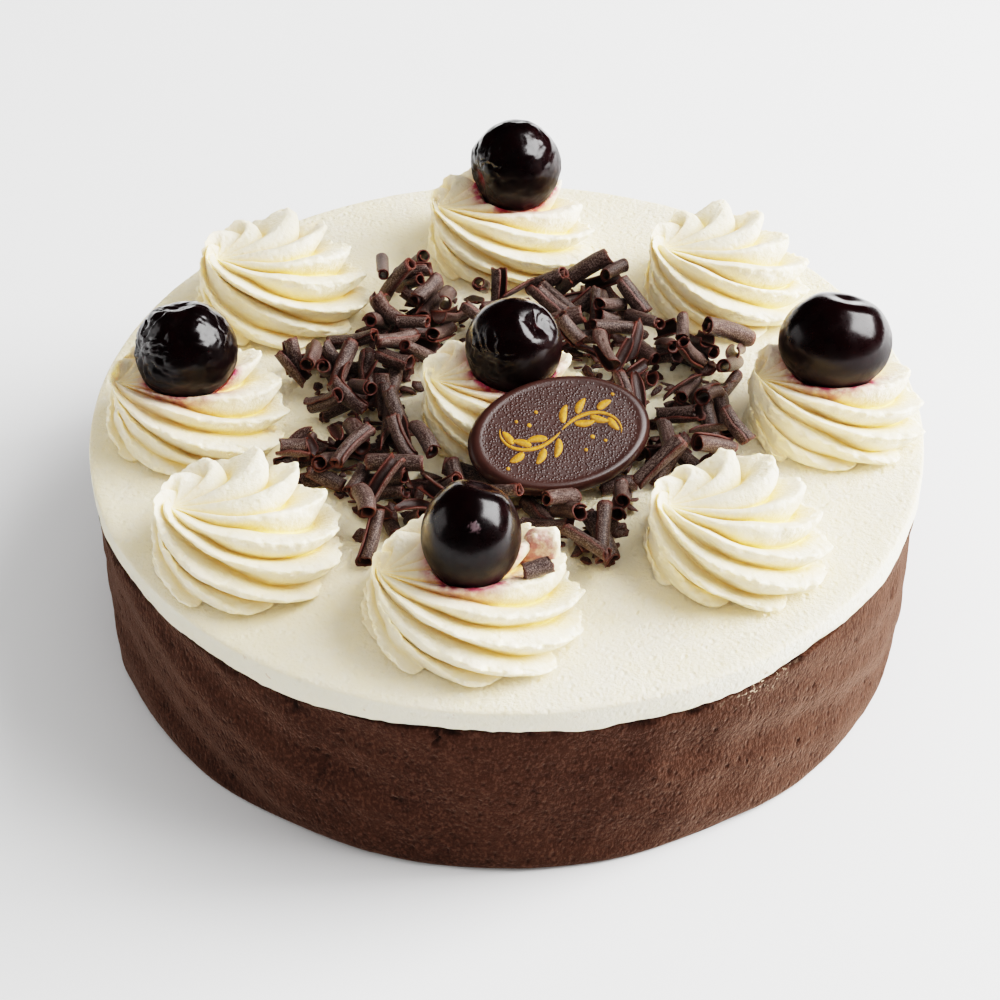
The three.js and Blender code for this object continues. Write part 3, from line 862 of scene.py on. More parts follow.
def wrinkles(directions, axis, width, rays, depth, seed):
    """Wrinkles that run out from axis and fade at width."""
    side = np.cross(axis, [0.3, 0.5, 0.81])
    side /= np.linalg.norm(side)
    other = np.cross(axis, side)
    a = angle_from(directions, axis) / width
    turn = np.arctan2(directions @ other, directions @ side)
    wander = 1.3 * fractal(directions, 0.4, 3, seed)
    ridge = np.abs(np.sin(0.5 * rays * turn + wander * 2.2))
    fade = np.exp(-(((a - 0.55) / 0.5) ** 2))
    return depth * fade * (1 - ridge) ** 1.5


# Colours under the skin, where it is torn and on its scar. The red is also painted as a rim glow
# toward the outline.
CHERRY_RED = (0.015, 0.0012, 0.0018, 1.0)
CHERRY_FLESH = (0.16, 0.014, 0.016, 1.0)
CHERRY_SCAR = (0.15, 0.10, 0.11, 1.0)
SCAR_HEIGHT = 0.012
PIT_LIP = 0.15
# Each cherry's pits: azimuth and elevation in degrees, half-width in radians, and depth.
PITS = {
    "front": [(60, 60, 0.34, 0.12), (250, -70, 0.5, 0.03)],
    "right": [(60, 65, 0.35, 0.14)],
    "back": [(205, -8, 0.4, 0.2), (80, 35, 0.3, 0.05)],
    "left": [(205, 18, 0.5, 0.07), (120, 70, 0.3, 0.1)],
    "centre": [(232, 12, 0.22, 0.07), (-25, 52, 0.3, 0.15)],
}
# Its bursts of wrinkles: the same, with the number of rays before the depth, and a seed.
WRINKLES = {
    "right": [(225, -25, 0.4, 5, 0.035, 4)],
    "back": [(215, 5, 0.8, 7, 0.045, 8)],
    "left": [(205, 18, 0.95, 9, 0.05, 3)],
    "centre": [(232, 12, 0.62, 8, 0.05, 5), (-25, 52, 0.5, 6, 0.012, 6)],
}
# The uneven skin of two of them: depth, how far it is sunk, and a seed.
LUMPS = {"left": (0.02, 0.5, 21), "back": (0.016, 0.8, 22)}


def cherry_shape(spot, directions):
    """Distance from the middle in each direction, as a share of the cherry's semi-axes."""
    size = 1 + 0.012 * fractal(directions, 0.9, 3, len(spot))
    for azimuth, elevation, width, depth in PITS[spot]:
        size -= hollow(directions, toward(azimuth, elevation), width, depth)
    for azimuth, elevation, width, rays, depth, seed in WRINKLES.get(spot, ()):
        size -= wrinkles(directions, toward(azimuth, elevation), width, rays, depth, seed)
    if spot in LUMPS:
        depth, sunk, seed = LUMPS[spot]
        size += depth * (fractal(directions, 0.32, 3, seed) - sunk)
    return size


def scar_mask(directions):
    """1 on a small rough scar of the skin."""
    near = angle_from(directions, toward(-84, 48)) / 0.13
    return smooth_step(0.1, 0.6, 1.1 - near + 0.5 * fractal(directions, 0.05, 2, 12))


def cherry_material():
    c = colours()
    material, tree, shader = new_material("Cherry skin")
    point = object_point(tree)
    colour = mottled(tree, point, colour_of(c.cherry), CHERRY_RED, 70, 0.35)
    colour = mix_colour(tree, attribute(tree, "flesh"), colour, CHERRY_FLESH)
    # Painted rim light: the skin reddens toward the outline, by the angle of view.
    facing = add_node(tree, "ShaderNodeLayerWeight", Blend=0.25).outputs["Facing"]
    rim = calculate(tree, "MULTIPLY", calculate(tree, "POWER", facing, 2.5), 0.5)
    colour = mix_colour(tree, rim, colour, CHERRY_RED)
    scar = calculate(tree, "MULTIPLY", attribute(tree, "scar"), 0.8)
    colour = mix_colour(tree, scar, colour, CHERRY_SCAR)
    wet = attribute(tree, "wet")
    film = remap(tree, noise_node(tree, point, 240, 4, 0.6), 0.35, 0.7, 0.16, 0.34)
    dry = calculate(tree, "MULTIPLY_ADD", wet, -0.2, 0.2)
    rough = calculate(tree, "ADD", film, dry)
    coat = calculate(tree, "MULTIPLY", wet, 0.8)
    fill(tree, shader, Base_Color=colour, Roughness=rough, Specular_IOR_Level=0.24)
    fill(tree, shader, Coat_Weight=coat, Coat_Roughness=0.18)
    uneven = noise_node(tree, point, 330, 3, 0.5)
    bump(tree, shader, uneven, 0.25, 0.5)
    return material


class CAKE_OT_cherries(bpy.types.Operator):
    """Builds the five cherries with their dimples and wrinkles"""

    bl_idname = "cake.cherries"
    bl_label = "Cherries"

    def execute(self, context):
        material = cherry_material()
        directions, faces = sphere_directions(110, 150)
        for spot, (_, _, cherry) in ROSETTES.items():
            if not cherry:
                continue
            axes, middle = cherry
            size = cherry_shape(spot, directions)
            scar = scar_mask(directions) * (spot == "front")
            size = size + SCAR_HEIGHT * scar
            points = directions * size[:, None] * np.array(axes) + np.array(middle)
            masks = {
                "scar": scar,
                "flesh": smooth_step(0.12, 0.24, 1 - size),
                "wet": smooth_step(0.0, 0.7, directions[:, 2]),
            }
            piece = make_piece(f"glossy_cherry_{spot}", points, faces, material, masks)
            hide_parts(f"cherry_{spot}")
        return {"FINISHED"}


# ---- Plaque ----

# The plaque's rounded edge from its back to its face, as shares of its half-sizes and thickness.
PLAQUE_EDGE_REACH = [(0, 0.9), (0.12, 0.955), (0.35, 0.995), (0.5, 1.0), (0.68, 0.975)]
PLAQUE_EDGE_REACH += [(0.84, 0.925), (1, 0.86)]
PLAQUE_EDGE_HEIGHT = [(0, 0), (0.12, 0.1), (0.35, 0.36), (0.5, 0.55), (0.68, 0.84)]
PLAQUE_EDGE_HEIGHT += [(0.84, 0.985), (0.93, 1.0), (1, 0.985)]
# Leaves of the vine: how far along the stem, and on which side.
LEAVES = ((0.07, 1), (0.17, -1), (0.28, 1), (0.4, -1), (0.52, 1), (0.66, -1))
# Dots beside the vine, of which each has a twin across the middle: place and radius.
DOTS = ((6.5, -3.6, 0.6), (9.0, -5.4, 0.45), (15.6, 5.6, 0.5), (3.6, -6.4, 0.5))


def plaque_frame():
    """The plaque's own axes as rows: along its length, across it, and out of its face."""
    along = np.array([math.cos(PLAQUE_TURN), math.sin(PLAQUE_TURN), 0])
    level = np.array([-math.sin(PLAQUE_TURN), math.cos(PLAQUE_TURN), 0])
    across = math.cos(PLAQUE_SLOPE) * level + math.sin(PLAQUE_SLOPE) * np.array([0, 0, 1])
    return np.array([along, across, np.cross(along, across)])


def on_plaque(local):
    return PLAQUE_CENTRE + local @ plaque_frame()


def plaque_material():
    """Smooth dark chocolate, with pebbles on the plaque's face."""
    c = colours()
    material, tree, shader = new_material("Plaque chocolate")
    point = object_point(tree)
    colour = mottled(tree, point, shaded(c.chocolate, 1.6), shaded(c.chocolate, 1.15), 120, 0.6)
    face = attribute(tree, "face")
    cells = add_node(tree, "ShaderNodeTexVoronoi", Vector=point, Scale=1450.0, Randomness=0.85)
    pebble = remap(tree, cells.outputs["Distance"], 0.1, 0.55, 1.0, 0.0)
    bump(tree, shader, calculate(tree, "MULTIPLY", pebble, face), 0.2, 0.5)
    rough = calculate(tree, "MULTIPLY_ADD", face, 0.04, 0.3)
    fill(tree, shader, Base_Color=colour, Roughness=rough, Specular_IOR_Level=0.5)
    return material


class CAKE_OT_plaque(bpy.types.Operator):
    """Builds the oval chocolate plaque with its pebbled face and rounded rim"""

    bl_idname = "cake.plaque"
    bl_label = "Plaque"

    def execute(self, context):
        count, face_rows = 300, 40
        angle = full_turn(count)
        steps = np.linspace(0, 1, 36)
        share = curve_through(PLAQUE_EDGE_REACH, steps)
        height = curve_through(PLAQUE_EDGE_HEIGHT, steps)
        share = np.concatenate([share, np.linspace(0.83, 0.02, face_rows)])
        height = np.concatenate([height, np.full(face_rows, FACE_SHARE)])
        rows = []
        for s, h in zip(share, height):
            x = PLAQUE_HALF[0] * s * np.cos(angle)
            y = PLAQUE_HALF[1] * s * np.sin(angle)
            rows.append(np.stack([x, y, np.full(count, h * PLAQUE_THICKNESS)], axis=-1))
        grid = np.array(rows)
        grid[..., 2] += 0.05 * fractal(grid, 9, 2, 61) * smooth_step(0, 1.2, grid[..., 2])
        local = np.concatenate([grid.reshape(-1, 3), [[0, 0, 0], [0, 0, PLAQUE_FACE]]])
        face = np.repeat(smooth_step(0.9, 0.8, share) * (height > 0.9), count)
        masks = {"face": np.concatenate([face, [0, 1]])}
        faces = closed_faces(len(rows), count)
        points = on_plaque(local)
        piece = make_piece("oval_plaque", points, faces, plaque_material(), masks)
        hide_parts("plaque")
        return {"FINISHED"}


def stroke_path(start, heading, length, bend, tighten, points=70):
    """A line that sets off at heading degrees and bends ever more tightly, like a scroll."""
    share = np.linspace(0, 1, points)
    curve = bend * (1 + tighten * share**2)
    direction = math.radians(heading) + np.cumsum(curve) * length / points
    step = length / points
    x = start[0] + np.cumsum(np.cos(direction)) * step
    y = start[1] + np.cumsum(np.sin(direction)) * step
    return np.stack([x, y], axis=-1)


def ribbon(path, width):
    """A low rounded ribbon along path on the plaque's face, swelling in its middle."""
    share = np.linspace(0, 1, len(path))[:, None]
    along = np.gradient(path, axis=0)
    along /= np.linalg.norm(along, axis=1, keepdims=True)
    across = np.stack([-along[:, 1], along[:, 0]], axis=-1)
    half = 0.5 * width * (0.22 + 0.78 * np.sin(np.pi * share**0.8) ** 0.8)
    half = half * np.sqrt(np.clip(1 - (2 * share - 1) ** 16, 0.02, 1))
    rows = []
    for side, lift in ((-1, -0.25), (-0.9, 0.1), (0, 0.2), (0.9, 0.1), (1, -0.25)):
        flat = path + across * half * side
        rows.append(np.column_stack([flat, np.full(len(path), PLAQUE_FACE + lift)]))
    points = np.array(rows)
    count = len(path)
    faces = ring_faces(5, count, closed=False)[:, ::-1]
    return points.reshape(-1, 3), faces


def flourish_strokes():
    """A waving vine with a leaf on either side in turn: half of it, then the same half turned."""
    stem = stroke_path((0, 0), 34, 19.5, -0.058, 4.4)
    half = [(stem, 0.7)]
    for share, side in LEAVES:
        i = int(share * len(stem))
        step = stem[i + 1] - stem[i]
        heading = math.degrees(math.atan2(step[1], step[0])) + 52 * side
        base = stem[i] + 0.8 * toward(heading, 0)[:2]
        leaf = stroke_path(base, heading, mix(5.6, 3.4, share), -0.13 * side, 0, 24)
        half.append((leaf, 1.4))
    turned = [(-path, width) for path, width in half]
    return half + turned


def dot(centre, radius):
    """A low round dot on the plaque's face."""
    count = 20
    angle = full_turn(count)
    rows = []
    for share, lift in ((1, -0.25), (0.9, 0.08), (0.5, 0.18)):
        flat = np.stack([np.cos(angle), np.sin(angle)], axis=-1) * radius * share + centre
        rows.append(np.column_stack([flat, np.full(count, PLAQUE_FACE + lift)]))
    points = np.concatenate([np.concatenate(rows), [[*centre, PLAQUE_FACE + 0.2]]])
    return points, [ring_faces(3, count), fan_faces(2 * count, count, 3 * count, True)]


class CAKE_OT_flourish(bpy.types.Operator):
    """Draws a generic gold flourish on the plaque"""

    bl_idname = "cake.flourish"
    bl_label = "Gold flourish"

    def execute(self, context):
        c = colours()
        material, tree, shader = new_material("Gold flourish")
        point = object_point(tree)
        colour = mottled(tree, point, colour_of(c.gold), shaded(c.gold, 0.55), 900, 0.8)
        fill(tree, shader, Base_Color=colour, Roughness=0.55)
        bump(tree, shader, noise_node(tree, point, 1800, 3), 0.2, 0.5)
        width = sizes().flourish_width / MM
        blocks = []
        for path, share in flourish_strokes():
            points, faces = ribbon(path, width * share)
            blocks.append((points, [faces]))
        for x, y, radius in DOTS:
            blocks.append(dot(np.array([x, y]), radius))
            blocks.append(dot(np.array([-x, -y]), radius))
        points, faces = joined(blocks)
        piece = make_piece("plaque_flourish", on_plaque(points), faces, material)
        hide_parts("plaque")
        return {"FINISHED"}


def joined(blocks):
    """Several (points, face blocks) as one."""
    points, faces = [], []
    start = 0
    for block_points, block_faces in blocks:
        points.append(block_points)
        faces.extend(np.asarray(f) + start for f in block_faces)
        start += len(block_points)
    return np.concatenate(points), faces


# ---- Chocolate curls ----

STRAY_CURLS = [
    (-48, 19, 28, 13.5),
    (-51, -14, 62, 9),
    (56, 25, 40, 13),
    (-33, -52, 66, 11),
    (27, -54, 120, 7),
    (-13, 46, 18, 11),
    (16, 43, 22, 13),
]
# The one curl that lies on the front rosette, beside its cherry.
LEANING_CURL = {"x": 6.6, "y": -72.0, "z": 67.9, "ux": math.cos(0.36), "uy": math.sin(0.36)}
LEANING_CURL |= {"half": 3.5, "rise": 0.3, "radius": 2.1, "sweep": 8.2, "roll": 4.9, "taper": 1.0}
HEAP = (24, 58)
SHARD_HEAP = (22, 56)
HEAP_MIDDLE = (1, -1)
REST_SAMPLES = 9
STEEPEST_RISE = 0.75
HIGHEST_AXIS = 11
# Of the draws that choose a curl's kind, those from here on give an open curl or a flake.
OPEN_FROM, FLAKE_FROM = 0.7, 0.86
# How far each kind is rolled, in radians.
ROLLED_SWEEP, OPEN_SWEEP, FLAKE_SWEEP = (7.6, 9.4), (3.6, 5.0), (1.7, 2.6)
PROPPED_FROM = 0.8
PROPPED_PITCH = (0.45, 1.05)
CURL_TRIES, SHARD_TRIES = 4000, 6000
SHARD_LENGTH, SHARD_RADIUS, SHARD_SWEEP = (1.6, 6.5), (1.2, 4.0), (0.7, 1.9)
SHARD_SHEET = 0.45


def plaque_underside(x, y, margin):
    """Height of the plaque's underside over a point of the cream, or a huge one beside it."""
    frame_rows = plaque_frame()
    start = frame_rows @ (np.array([x, y, 0]) - PLAQUE_CENTRE)
    along = frame_rows[:, 2]
    rise = -start[2] / along[2]
    hit = start + along * rise
    across = (hit[0] / (PLAQUE_HALF[0] + margin)) ** 2 + (hit[1] / (PLAQUE_HALF[1] + margin)) ** 2
    return math.inf if across > 1 else rise


def rest_heights(xs, ys, radius, placed):
    """Height that the axis of a lying curl needs over each point."""
    heights = np.full(len(xs), CREAM_TOP + radius - CURL_SINK)
    if not placed:
        return heights
    keys = ("x", "y", "z", "ux", "uy", "half", "rise", "radius")
    table = np.array([[curl[key] for key in keys] for curl in placed])
    ox, oy, oz, ux, uy, half, rise, other = table.T[:, :, None]
    s = np.clip(((xs - ox) * ux + (ys - oy) * uy) / half, -1, 1)
    dx = xs - (ox + s * half * ux)
    dy = ys - (oy + s * half * uy)
    reach = (radius + other) * CURL_NEST
    gap = reach * reach - dx * dx - dy * dy
    lifted = np.where(gap > 0, oz + s * rise + np.sqrt(np.maximum(gap, 0)), -np.inf)
    return np.maximum(heights, lifted.max(axis=0))


def settle(x, y, turn, pitch, length, radius, placed):
    """Lets a curl down. One without a pitch tips until it bears on both sides of its middle."""
    ux, uy = math.cos(turn), math.sin(turn)
    half = length / 2 * math.cos(pitch)
    shares = np.linspace(-1, 1, REST_SAMPLES)
    heights = rest_heights(x + shares * half * ux, y + shares * half * uy, radius, placed)

    def lift(slope):
        return float(np.max(heights - shares * slope))

    rise = length / 2 * math.sin(pitch)
    if pitch == 0:
        lowest = math.inf
        for a in range(REST_SAMPLES // 2 + 1):
            for b in range(max(a + 1, REST_SAMPLES // 2), REST_SAMPLES):
                slope = float((heights[b] - heights[a]) / (shares[b] - shares[a]))
                if lift(slope) < lowest - 1e-6:
                    lowest, rise = lift(slope), slope
        if abs(rise) > STEEPEST_RISE * half:
            return None
    z = lift(rise)
    if z - CREAM_TOP > HIGHEST_AXIS:
        return None
    place = {"x": x, "y": y, "z": z, "ux": ux, "uy": uy}
    return place | {"half": half, "rise": rise, "radius": radius}


def curl_is_clear(curl):
    """True where a curl stays clear of every rosette and of the plaque over it."""
    for k in range(-2, 3):
        s = k / 2
        x = curl["x"] + s * curl["half"] * curl["ux"]
        y = curl["y"] + s * curl["half"] * curl["uy"]
        over = curl["z"] + s * curl["rise"] + curl["radius"] + 2 * CLEARANCE
        if plaque_underside(x, y, curl["radius"] + 1) < over:
            return False
        for centre, size, _ in ROSETTES.values():
            reach = ROSETTE_RADIUS * size * 1.07 + curl["radius"] + CLEARANCE
            if math.hypot(x - centre[0], y - centre[1]) < reach:
                return False
    return True


def round_heap(r, around):
    """A place at that distance from the heap's middle, in that direction."""
    return HEAP_MIDDLE[0] + r * math.cos(around), HEAP_MIDDLE[1] + r * math.sin(around)


def place_curls(count):
    """Strays first, then curls dropped at random over the heap's ring until there are enough."""
    draw = random_source(2024)
    placed = []

    def drop(x, y, turn, pitch, length, radius):
        curl = settle(x, y, turn, pitch, length, radius, placed)
        if curl is None or not curl_is_clear(curl):
            return
        kind = draw()
        curl["roll"] = draw() * 2 * math.pi
        curl["sweep"] = mix(*ROLLED_SWEEP, draw())
        if kind > OPEN_FROM:
            curl["sweep"] = mix(*OPEN_SWEEP, draw())
        if kind > FLAKE_FROM:
            curl["sweep"] = mix(*FLAKE_SWEEP, draw())
        if kind > OPEN_FROM:
            curl["roll"] = math.pi + (curl["roll"] - math.pi) * 0.5
        curl["taper"] = mix(0.84, 1.0, draw())
        placed.append(curl)

    for x, y, turn, length in STRAY_CURLS:
        drop(x, y, math.radians(turn), 0, length, CURL_RADIUS)
    tries = 0
    while len(placed) < count and tries < CURL_TRIES:
        tries += 1
        r = math.sqrt(mix(HEAP[0] ** 2, HEAP[1] ** 2, draw() ** 1.25))
        around = draw() * 2 * math.pi
        turn = draw() * 2 * math.pi
        propped = draw()
        pitch = mix(*PROPPED_PITCH, draw()) if propped > PROPPED_FROM else 0
        length = CURL_LENGTH * mix(0.72, 1.3, draw())
        radius = CURL_RADIUS * mix(0.8, 1.12, draw())
        drop(*round_heap(r, around), turn, pitch, length, radius)
    return placed


def sheet_faces(rows, columns):
    """Faces of a thin sheet: its outer skin, its inner skin and the rim that joins them."""
    total = rows * columns
    outer = ring_faces(rows, columns, closed=False)
    row_start = np.arange(rows - 1) * columns
    column = np.arange(columns - 1)
    rim = []
    for low, step, flip in (
        (row_start, columns, False),
        (row_start + columns - 1, columns, True),
        (column, 1, True),
        (column + total - columns, 1, False),
    ):
        quad = np.stack([low, low + step, low + step + total, low + total], axis=-1)
        rim.append(quad[:, ::-1] if flip else quad)
    return [outer, outer[:, ::-1] + total, *rim]


def lay(points, curl):
    """Rolls points about X and lays them along the curl's axis at its place."""
    roll = curl["roll"]
    y = points[:, 1] * math.cos(roll) - points[:, 2] * math.sin(roll)
    z = points[:, 1] * math.sin(roll) + points[:, 2] * math.cos(roll)
    turned = np.stack([points[:, 0], y, z], axis=-1)
    axis = np.array([curl["ux"] * curl["half"], curl["uy"] * curl["half"], curl["rise"]])
    axis /= np.linalg.norm(axis)
    side = np.array([-curl["uy"], curl["ux"], 0])
    basis = np.array([axis, side, np.cross(axis, side)])
    return turned @ basis + np.array([curl["x"], curl["y"], curl["z"]])


def curl_mesh(curl, seed):
    """A shaving of chocolate: a thin sheet rolled up or bent about X, with torn ends."""
    rows, columns = 10, 24
    total = rows * columns
    radius, sweep = curl["radius"], curl["sweep"]
    half_length = math.hypot(curl["half"], curl["rise"])
    rolled = sweep > 2 * math.pi
    flake = sweep < math.pi
    t = np.linspace(0, 1, columns)[None]
    end = np.linspace(-1, 1, rows)[:, None]
    end = np.sign(end) * (1 - (1 - np.abs(end)) ** 1.3)
    grid = np.stack(np.broadcast_arrays(end * 4, t * sweep * 0.7, seed * 3.7), axis=-1)
    rough = fractal(grid, 1.0, 3, seed)
    slow = fractal(grid, 3.0, 2, seed + 1)
    narrowed = 1 - (0.75 if flake else 0.05) * np.abs(end) ** 3 + 0.06 * slow
    angle = (t - 0.5) * sweep * narrowed
    inward = 0.4 if rolled else 0.08
    size = radius * (1 - inward * t) * mix(1, curl["taper"], (end + 1) / 2)
    size = size * (1 + 0.04 * slow) + 0.06 * rough
    tear = 0.4 + 0.7 * rough + 0.4 * np.sin(t * 7 + seed) + 1.2 * t * (seed % 5 == 0)
    x = end * half_length - np.sign(end) * np.abs(end) ** 5 * np.clip(tear, 0, 3)
    sheet = sizes().curl_sheet / MM * (0.9 + 0.3 * rough) * (1 - 0.45 * np.abs(end) ** 8)
    bow = 0.35 * radius * (end**2 - 0.5) * math.sin(seed * 1.3)
    skins = []
    for r in (size, size - sheet):
        skins.append(np.stack([x, r * np.sin(angle), r * np.cos(angle) + bow], axis=-1))
    from_end = (1 - np.abs(end)) * half_length + 0 * t
    from_edge = np.minimum(t, 1 - t) * sweep * radius + 0 * end
    # Mask of the painted glow along the thin ends and edges.
    edge = np.exp(-np.minimum(from_end, from_edge) / 0.3)
    grain = np.stack(np.broadcast_arrays(x / 4, angle * radius, seed * 1.9), axis=-1)
    masks = {
        "edge": np.tile(edge.ravel(), 2),
        "inside": np.repeat([0.0, 1.0], total),
        "grain": np.tile(grain.reshape(-1, 3), (2, 1)),
        "tone": np.full(2 * total, (seed * 0.618) % 1),
    }
    return lay(np.array(skins).reshape(-1, 3), curl), sheet_faces(rows, columns), masks


def curl_material():
    c = colours()
    material, tree, shader = new_material("Curl chocolate")
    grain = attribute(tree, "grain", "Vector")
    point = object_point(tree)
    tone = attribute(tree, "tone")
    inside = attribute(tree, "inside")
    edge = attribute(tree, "edge")
    colour = mix_colour(tree, tone, colour_of(c.chocolate), shaded(c.chocolate, 1.35))
    streak = noise_node(tree, grain, 1.6, 5, 0.65)
    speck = noise_node(tree, point, 3400, 2, 0.7)
    dust = calculate(tree, "MULTIPLY_ADD", speck, 0.75, calculate(tree, "MULTIPLY", streak, 0.3))
    dust = remap(tree, dust, 0.46, 0.68, 0, 0.8)
    outside = calculate(tree, "SUBTRACT", 1.0, calculate(tree, "MULTIPLY", inside, 0.9))
    dust = calculate(tree, "MULTIPLY", dust, outside, clamp=True)
    colour = mix_colour(tree, dust, colour, colour_of(c.bloom))
    # Painted light: the thin edges glow reddish, as if lit through.
    painted_edge_glow = calculate(tree, "MULTIPLY", edge, 0.6)
    colour = mix_colour(tree, painted_edge_glow, colour, colour_of(c.chocolate_edge_glow))
    rough = calculate(tree, "MULTIPLY_ADD", dust, 0.4, 0.36)
    fill(tree, shader, Base_Color=colour, Roughness=rough, Specular_IOR_Level=0.45)
    height = calculate(tree, "MULTIPLY_ADD", streak, 0.4, speck)
    bump(tree, shader, height, 0.2, 0.7)
    return material


def gather(pieces):
    """Joins the points, faces and masks of many curls or shards."""
    points, faces = joined([(p, f) for p, f, _ in pieces])
    masks = {key: np.concatenate([m[key] for _, _, m in pieces]) for key in pieces[0][2]}
    return points, faces, masks


class CAKE_OT_curls(bpy.types.Operator):
    """Lays the heap of chocolate curls and shards round the middle rosette"""

    bl_idname = "cake.curls"
    bl_label = "Chocolate curls"

    def execute(self, context):
        material = curl_material()
        placed = place_curls(sizes().curl_count)
        if not placed:
            raise RuntimeError("no curl found a place")
        built = [curl_mesh(curl, seed) for seed, curl in enumerate([*placed, LEANING_CURL])]
        points, faces, masks = gather(built)
        piece = make_piece("chocolate_curls", points, faces, material, masks)
        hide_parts("cream_layer_with_curls")
        points, faces, masks = gather(list(place_shards(placed, sizes().shard_count)))
        piece = make_piece("chocolate_shards", points, faces, material, masks)
        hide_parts("cream_layer_with_curls")
        return {"FINISHED"}


def place_shards(curls, count):
    """Small bent flakes that lie between the curls and fill the heap's gaps."""
    draw = random_source(77)
    made = 0
    tries = 0
    while made < count and tries < SHARD_TRIES:
        tries += 1
        r = math.sqrt(mix(SHARD_HEAP[0] ** 2, SHARD_HEAP[1] ** 2, draw() ** 1.35))
        x, y = round_heap(r, draw() * 2 * math.pi)
        length = mix(*SHARD_LENGTH, draw() ** 1.6)
        radius = mix(*SHARD_RADIUS, draw())
        near = sum(math.hypot(c["x"] - x, c["y"] - y) < 8 for c in curls)
        curl = {"x": x, "y": y, "half": length / 2, "radius": radius * 0.45}
        turn = draw() * 2 * math.pi
        lift = draw()
        tip = (draw() - 0.5) * 1.1
        roll = (draw() - 0.5) * 2.0
        sweep = mix(*SHARD_SWEEP, draw())
        if near < 3:
            continue
        curl |= {"ux": math.cos(turn), "uy": math.sin(turn), "rise": tip * length / 2}
        curl["z"] = CREAM_TOP + 0.4 + lift * min(4.5, 0.45 * near)
        if not curl_is_clear(curl):
            continue
        curl |= {"radius": radius, "roll": roll, "sweep": sweep}
        curl["z"] -= radius * 0.8
        made += 1
        yield shard_mesh(curl, 1000 + made)


def shard_mesh(curl, seed):
    """A broken flake: a curved scrap of sheet with an uneven outline."""
    n = 9
    angle = full_turn(n)
    draw = random_source(seed)
    reach = np.array([mix(0.6, 1.1, draw()) for _ in range(n)])
    width = curl["radius"] * curl["sweep"] * 0.5
    skins = []
    for lift in (0, -SHARD_SHEET):
        for share in (1.0, 0.5):
            x = reach * share * np.cos(angle) * curl["half"]
            a = reach * share * np.sin(angle) * width / curl["radius"]
            r = curl["radius"] + lift
            skins.append(np.stack([x, r * np.sin(a), r * np.cos(a)], axis=-1))
    tops = [[0, 0, curl["radius"]], [0, 0, curl["radius"] - SHARD_SHEET]]
    points = np.concatenate([*skins, tops])
    outer = ring_faces(2, n)
    i = np.arange(n)
    rim = np.stack([i, i + 2 * n, (i + 1) % n + 2 * n, (i + 1) % n], axis=-1)
    tips = [fan_faces(n, n, 4 * n, True), fan_faces(3 * n, n, 4 * n + 1, False)]
    faces = [outer, outer[:, ::-1] + 2 * n, rim, *tips]
    # Mask of the painted edge glow, strongest round the shard's outline.
    edge = np.concatenate([np.ones(n), np.full(n, 0.15), np.ones(n), np.full(n, 0.15), [0, 0]])
    masks = {
        "edge": edge * 0.8,
        "inside": np.zeros(len(points)),
        "grain": points * [0.25, 1, 1] + seed,
        "tone": np.full(len(points), draw()),
    }
    return lay(points, curl), faces, masks


# ---- Stage, in metres ----

FLOOR_REACH = 4.0
FLOOR_CORNERS = ((-1, -1), (1, -1), (1, 1), (-1, 1))
FLOOR_DROP = 0.0002
WORLD_STRENGTH = 0.62
LIGHT_AIM = (0, 0, 0.05)
# Each area light's place, its width and height, and its power in watts.
LIGHTS = {
    "key": ((0.87, 0.10, 0.97), (0.95, 0.85), 22),
    "side": ((1.3, 0.3, 0.36), (0.7, 0.5), 43),
    "fill": ((-1.2, 0.1, 0.4), (0.8, 0.6), 1.4),
}
CAMERA_PITCH = math.radians(40.79)
CAMERA_TURN = 0.003335
CAMERA_DISTANCE = 0.62
CAMERA_AIM_HEIGHT = 0.0248
CAMERA_LENS = 90.22


def add_light(name, place, size, power):
    data = bpy.data.lights.new(name, "AREA")
    data.shape = "RECTANGLE"
    data.size, data.size_y = size
    data.energy = power
    light = add_object(name, data)
    light.location = place
    x, y, z = (aim - own for aim, own in zip(LIGHT_AIM, place))
    tilt = math.atan2(math.hypot(x, y), -z)
    light.rotation_euler = (tilt, 0, math.atan2(y, x) - math.pi / 2)
    return light


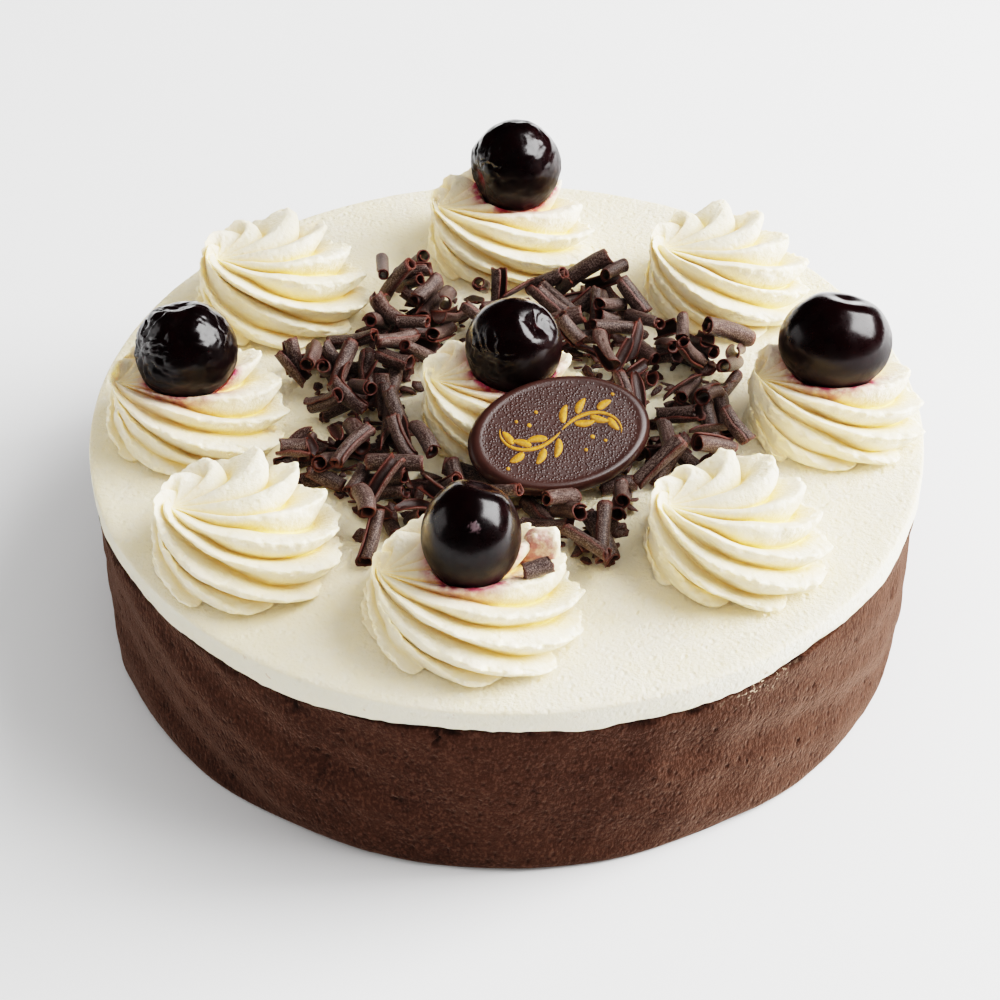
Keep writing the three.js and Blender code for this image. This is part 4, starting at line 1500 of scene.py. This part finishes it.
class CAKE_OT_stage(bpy.types.Operator):
    """Adds the floor, the lights and the camera"""

    bl_idname = "cake.stage"
    bl_label = "Stage"

    def execute(self, context):
        mesh = bpy.data.meshes.new("floor")
        corners = [(FLOOR_REACH * x, FLOOR_REACH * y, 0) for x, y in FLOOR_CORNERS]
        mesh.from_pydata(corners, [], [(0, 1, 2, 3)])
        material, tree, shader = new_material("Pale floor")
        pale, grey = (0.9, 0.9, 0.9, 1.0), (0.885, 0.885, 0.885, 1.0)
        shade = mottled(tree, object_point(tree), pale, grey, 3)
        fill(tree, shader, Base_Color=shade, Roughness=0.8)
        mesh.materials.append(material)
        floor = add_object("floor", mesh)
        floor.location.z = -FLOOR_DROP

        world = bpy.data.worlds.new("Studio")
        world.use_nodes = True
        background = world.node_tree.nodes["Background"]
        fill(world.node_tree, background, Color=(1, 1, 1, 1), Strength=WORLD_STRENGTH)
        scene = context.scene
        scene.world = world
        world.cycles_visibility.glossy = False
        scene.view_settings.view_transform = "Filmic"
        scene.view_settings.look = "High Contrast"

        for name, (place, size, power) in LIGHTS.items():
            light = add_light(name, place, size, power)
            light.visible_glossy = name != "side"

        data = bpy.data.cameras.new("Camera")
        data.lens = CAMERA_LENS
        data.sensor_width = 36
        data.clip_end = 20
        camera = add_object("Camera", data)
        back = CAMERA_DISTANCE * math.cos(CAMERA_PITCH)
        height = CAMERA_AIM_HEIGHT + CAMERA_DISTANCE * math.sin(CAMERA_PITCH)
        camera.location = (0, -back, height)
        camera.rotation_euler = (math.pi / 2 - CAMERA_PITCH, 0, CAMERA_TURN)
        scene.camera = camera
        return {"FINISHED"}


# ---- Add-on ----

STEPS = (
    CAKE_OT_stage,
    CAKE_OT_sponge,
    CAKE_OT_cream_layer,
    CAKE_OT_rosettes,
    CAKE_OT_cherries,
    CAKE_OT_plaque,
    CAKE_OT_flourish,
    CAKE_OT_curls,
)


class CAKE_PT_panel(bpy.types.Panel):
    """Lists the cake's pieces, sizes and colours"""

    bl_idname = "CAKE_PT_panel"
    bl_label = "Black forest cake"
    bl_space_type = "VIEW_3D"
    bl_region_type = "UI"
    bl_category = "Cake"

    def draw(self, context):
        for step in STEPS:
            self.layout.operator(step.bl_idname)
        for group in (context.scene.cake_sizes, context.scene.cake_colours):
            column = self.layout.column(heading=group.bl_rna.name)
            for key in group.__annotations__:
                column.prop(group, key)


CLASSES = (CakeSizes, CakeColours, *STEPS, CAKE_PT_panel)


def register():
    for cls in CLASSES:
        bpy.utils.register_class(cls)
    bpy.types.Scene.cake_sizes = bpy.props.PointerProperty(type=CakeSizes)
    bpy.types.Scene.cake_colours = bpy.props.PointerProperty(type=CakeColours)


def unregister():
    del bpy.types.Scene.cake_colours
    del bpy.types.Scene.cake_sizes
    for cls in reversed(CLASSES):
        bpy.utils.unregister_class(cls)


def main():
    register()
    for step in STEPS:
        group, name = step.bl_idname.split(".")
        result = getattr(getattr(bpy.ops, group), name)()
        if result != {"FINISHED"}:
            raise RuntimeError(f"{step.bl_label} wasn't built")


if __name__ == "__main__":
    main()
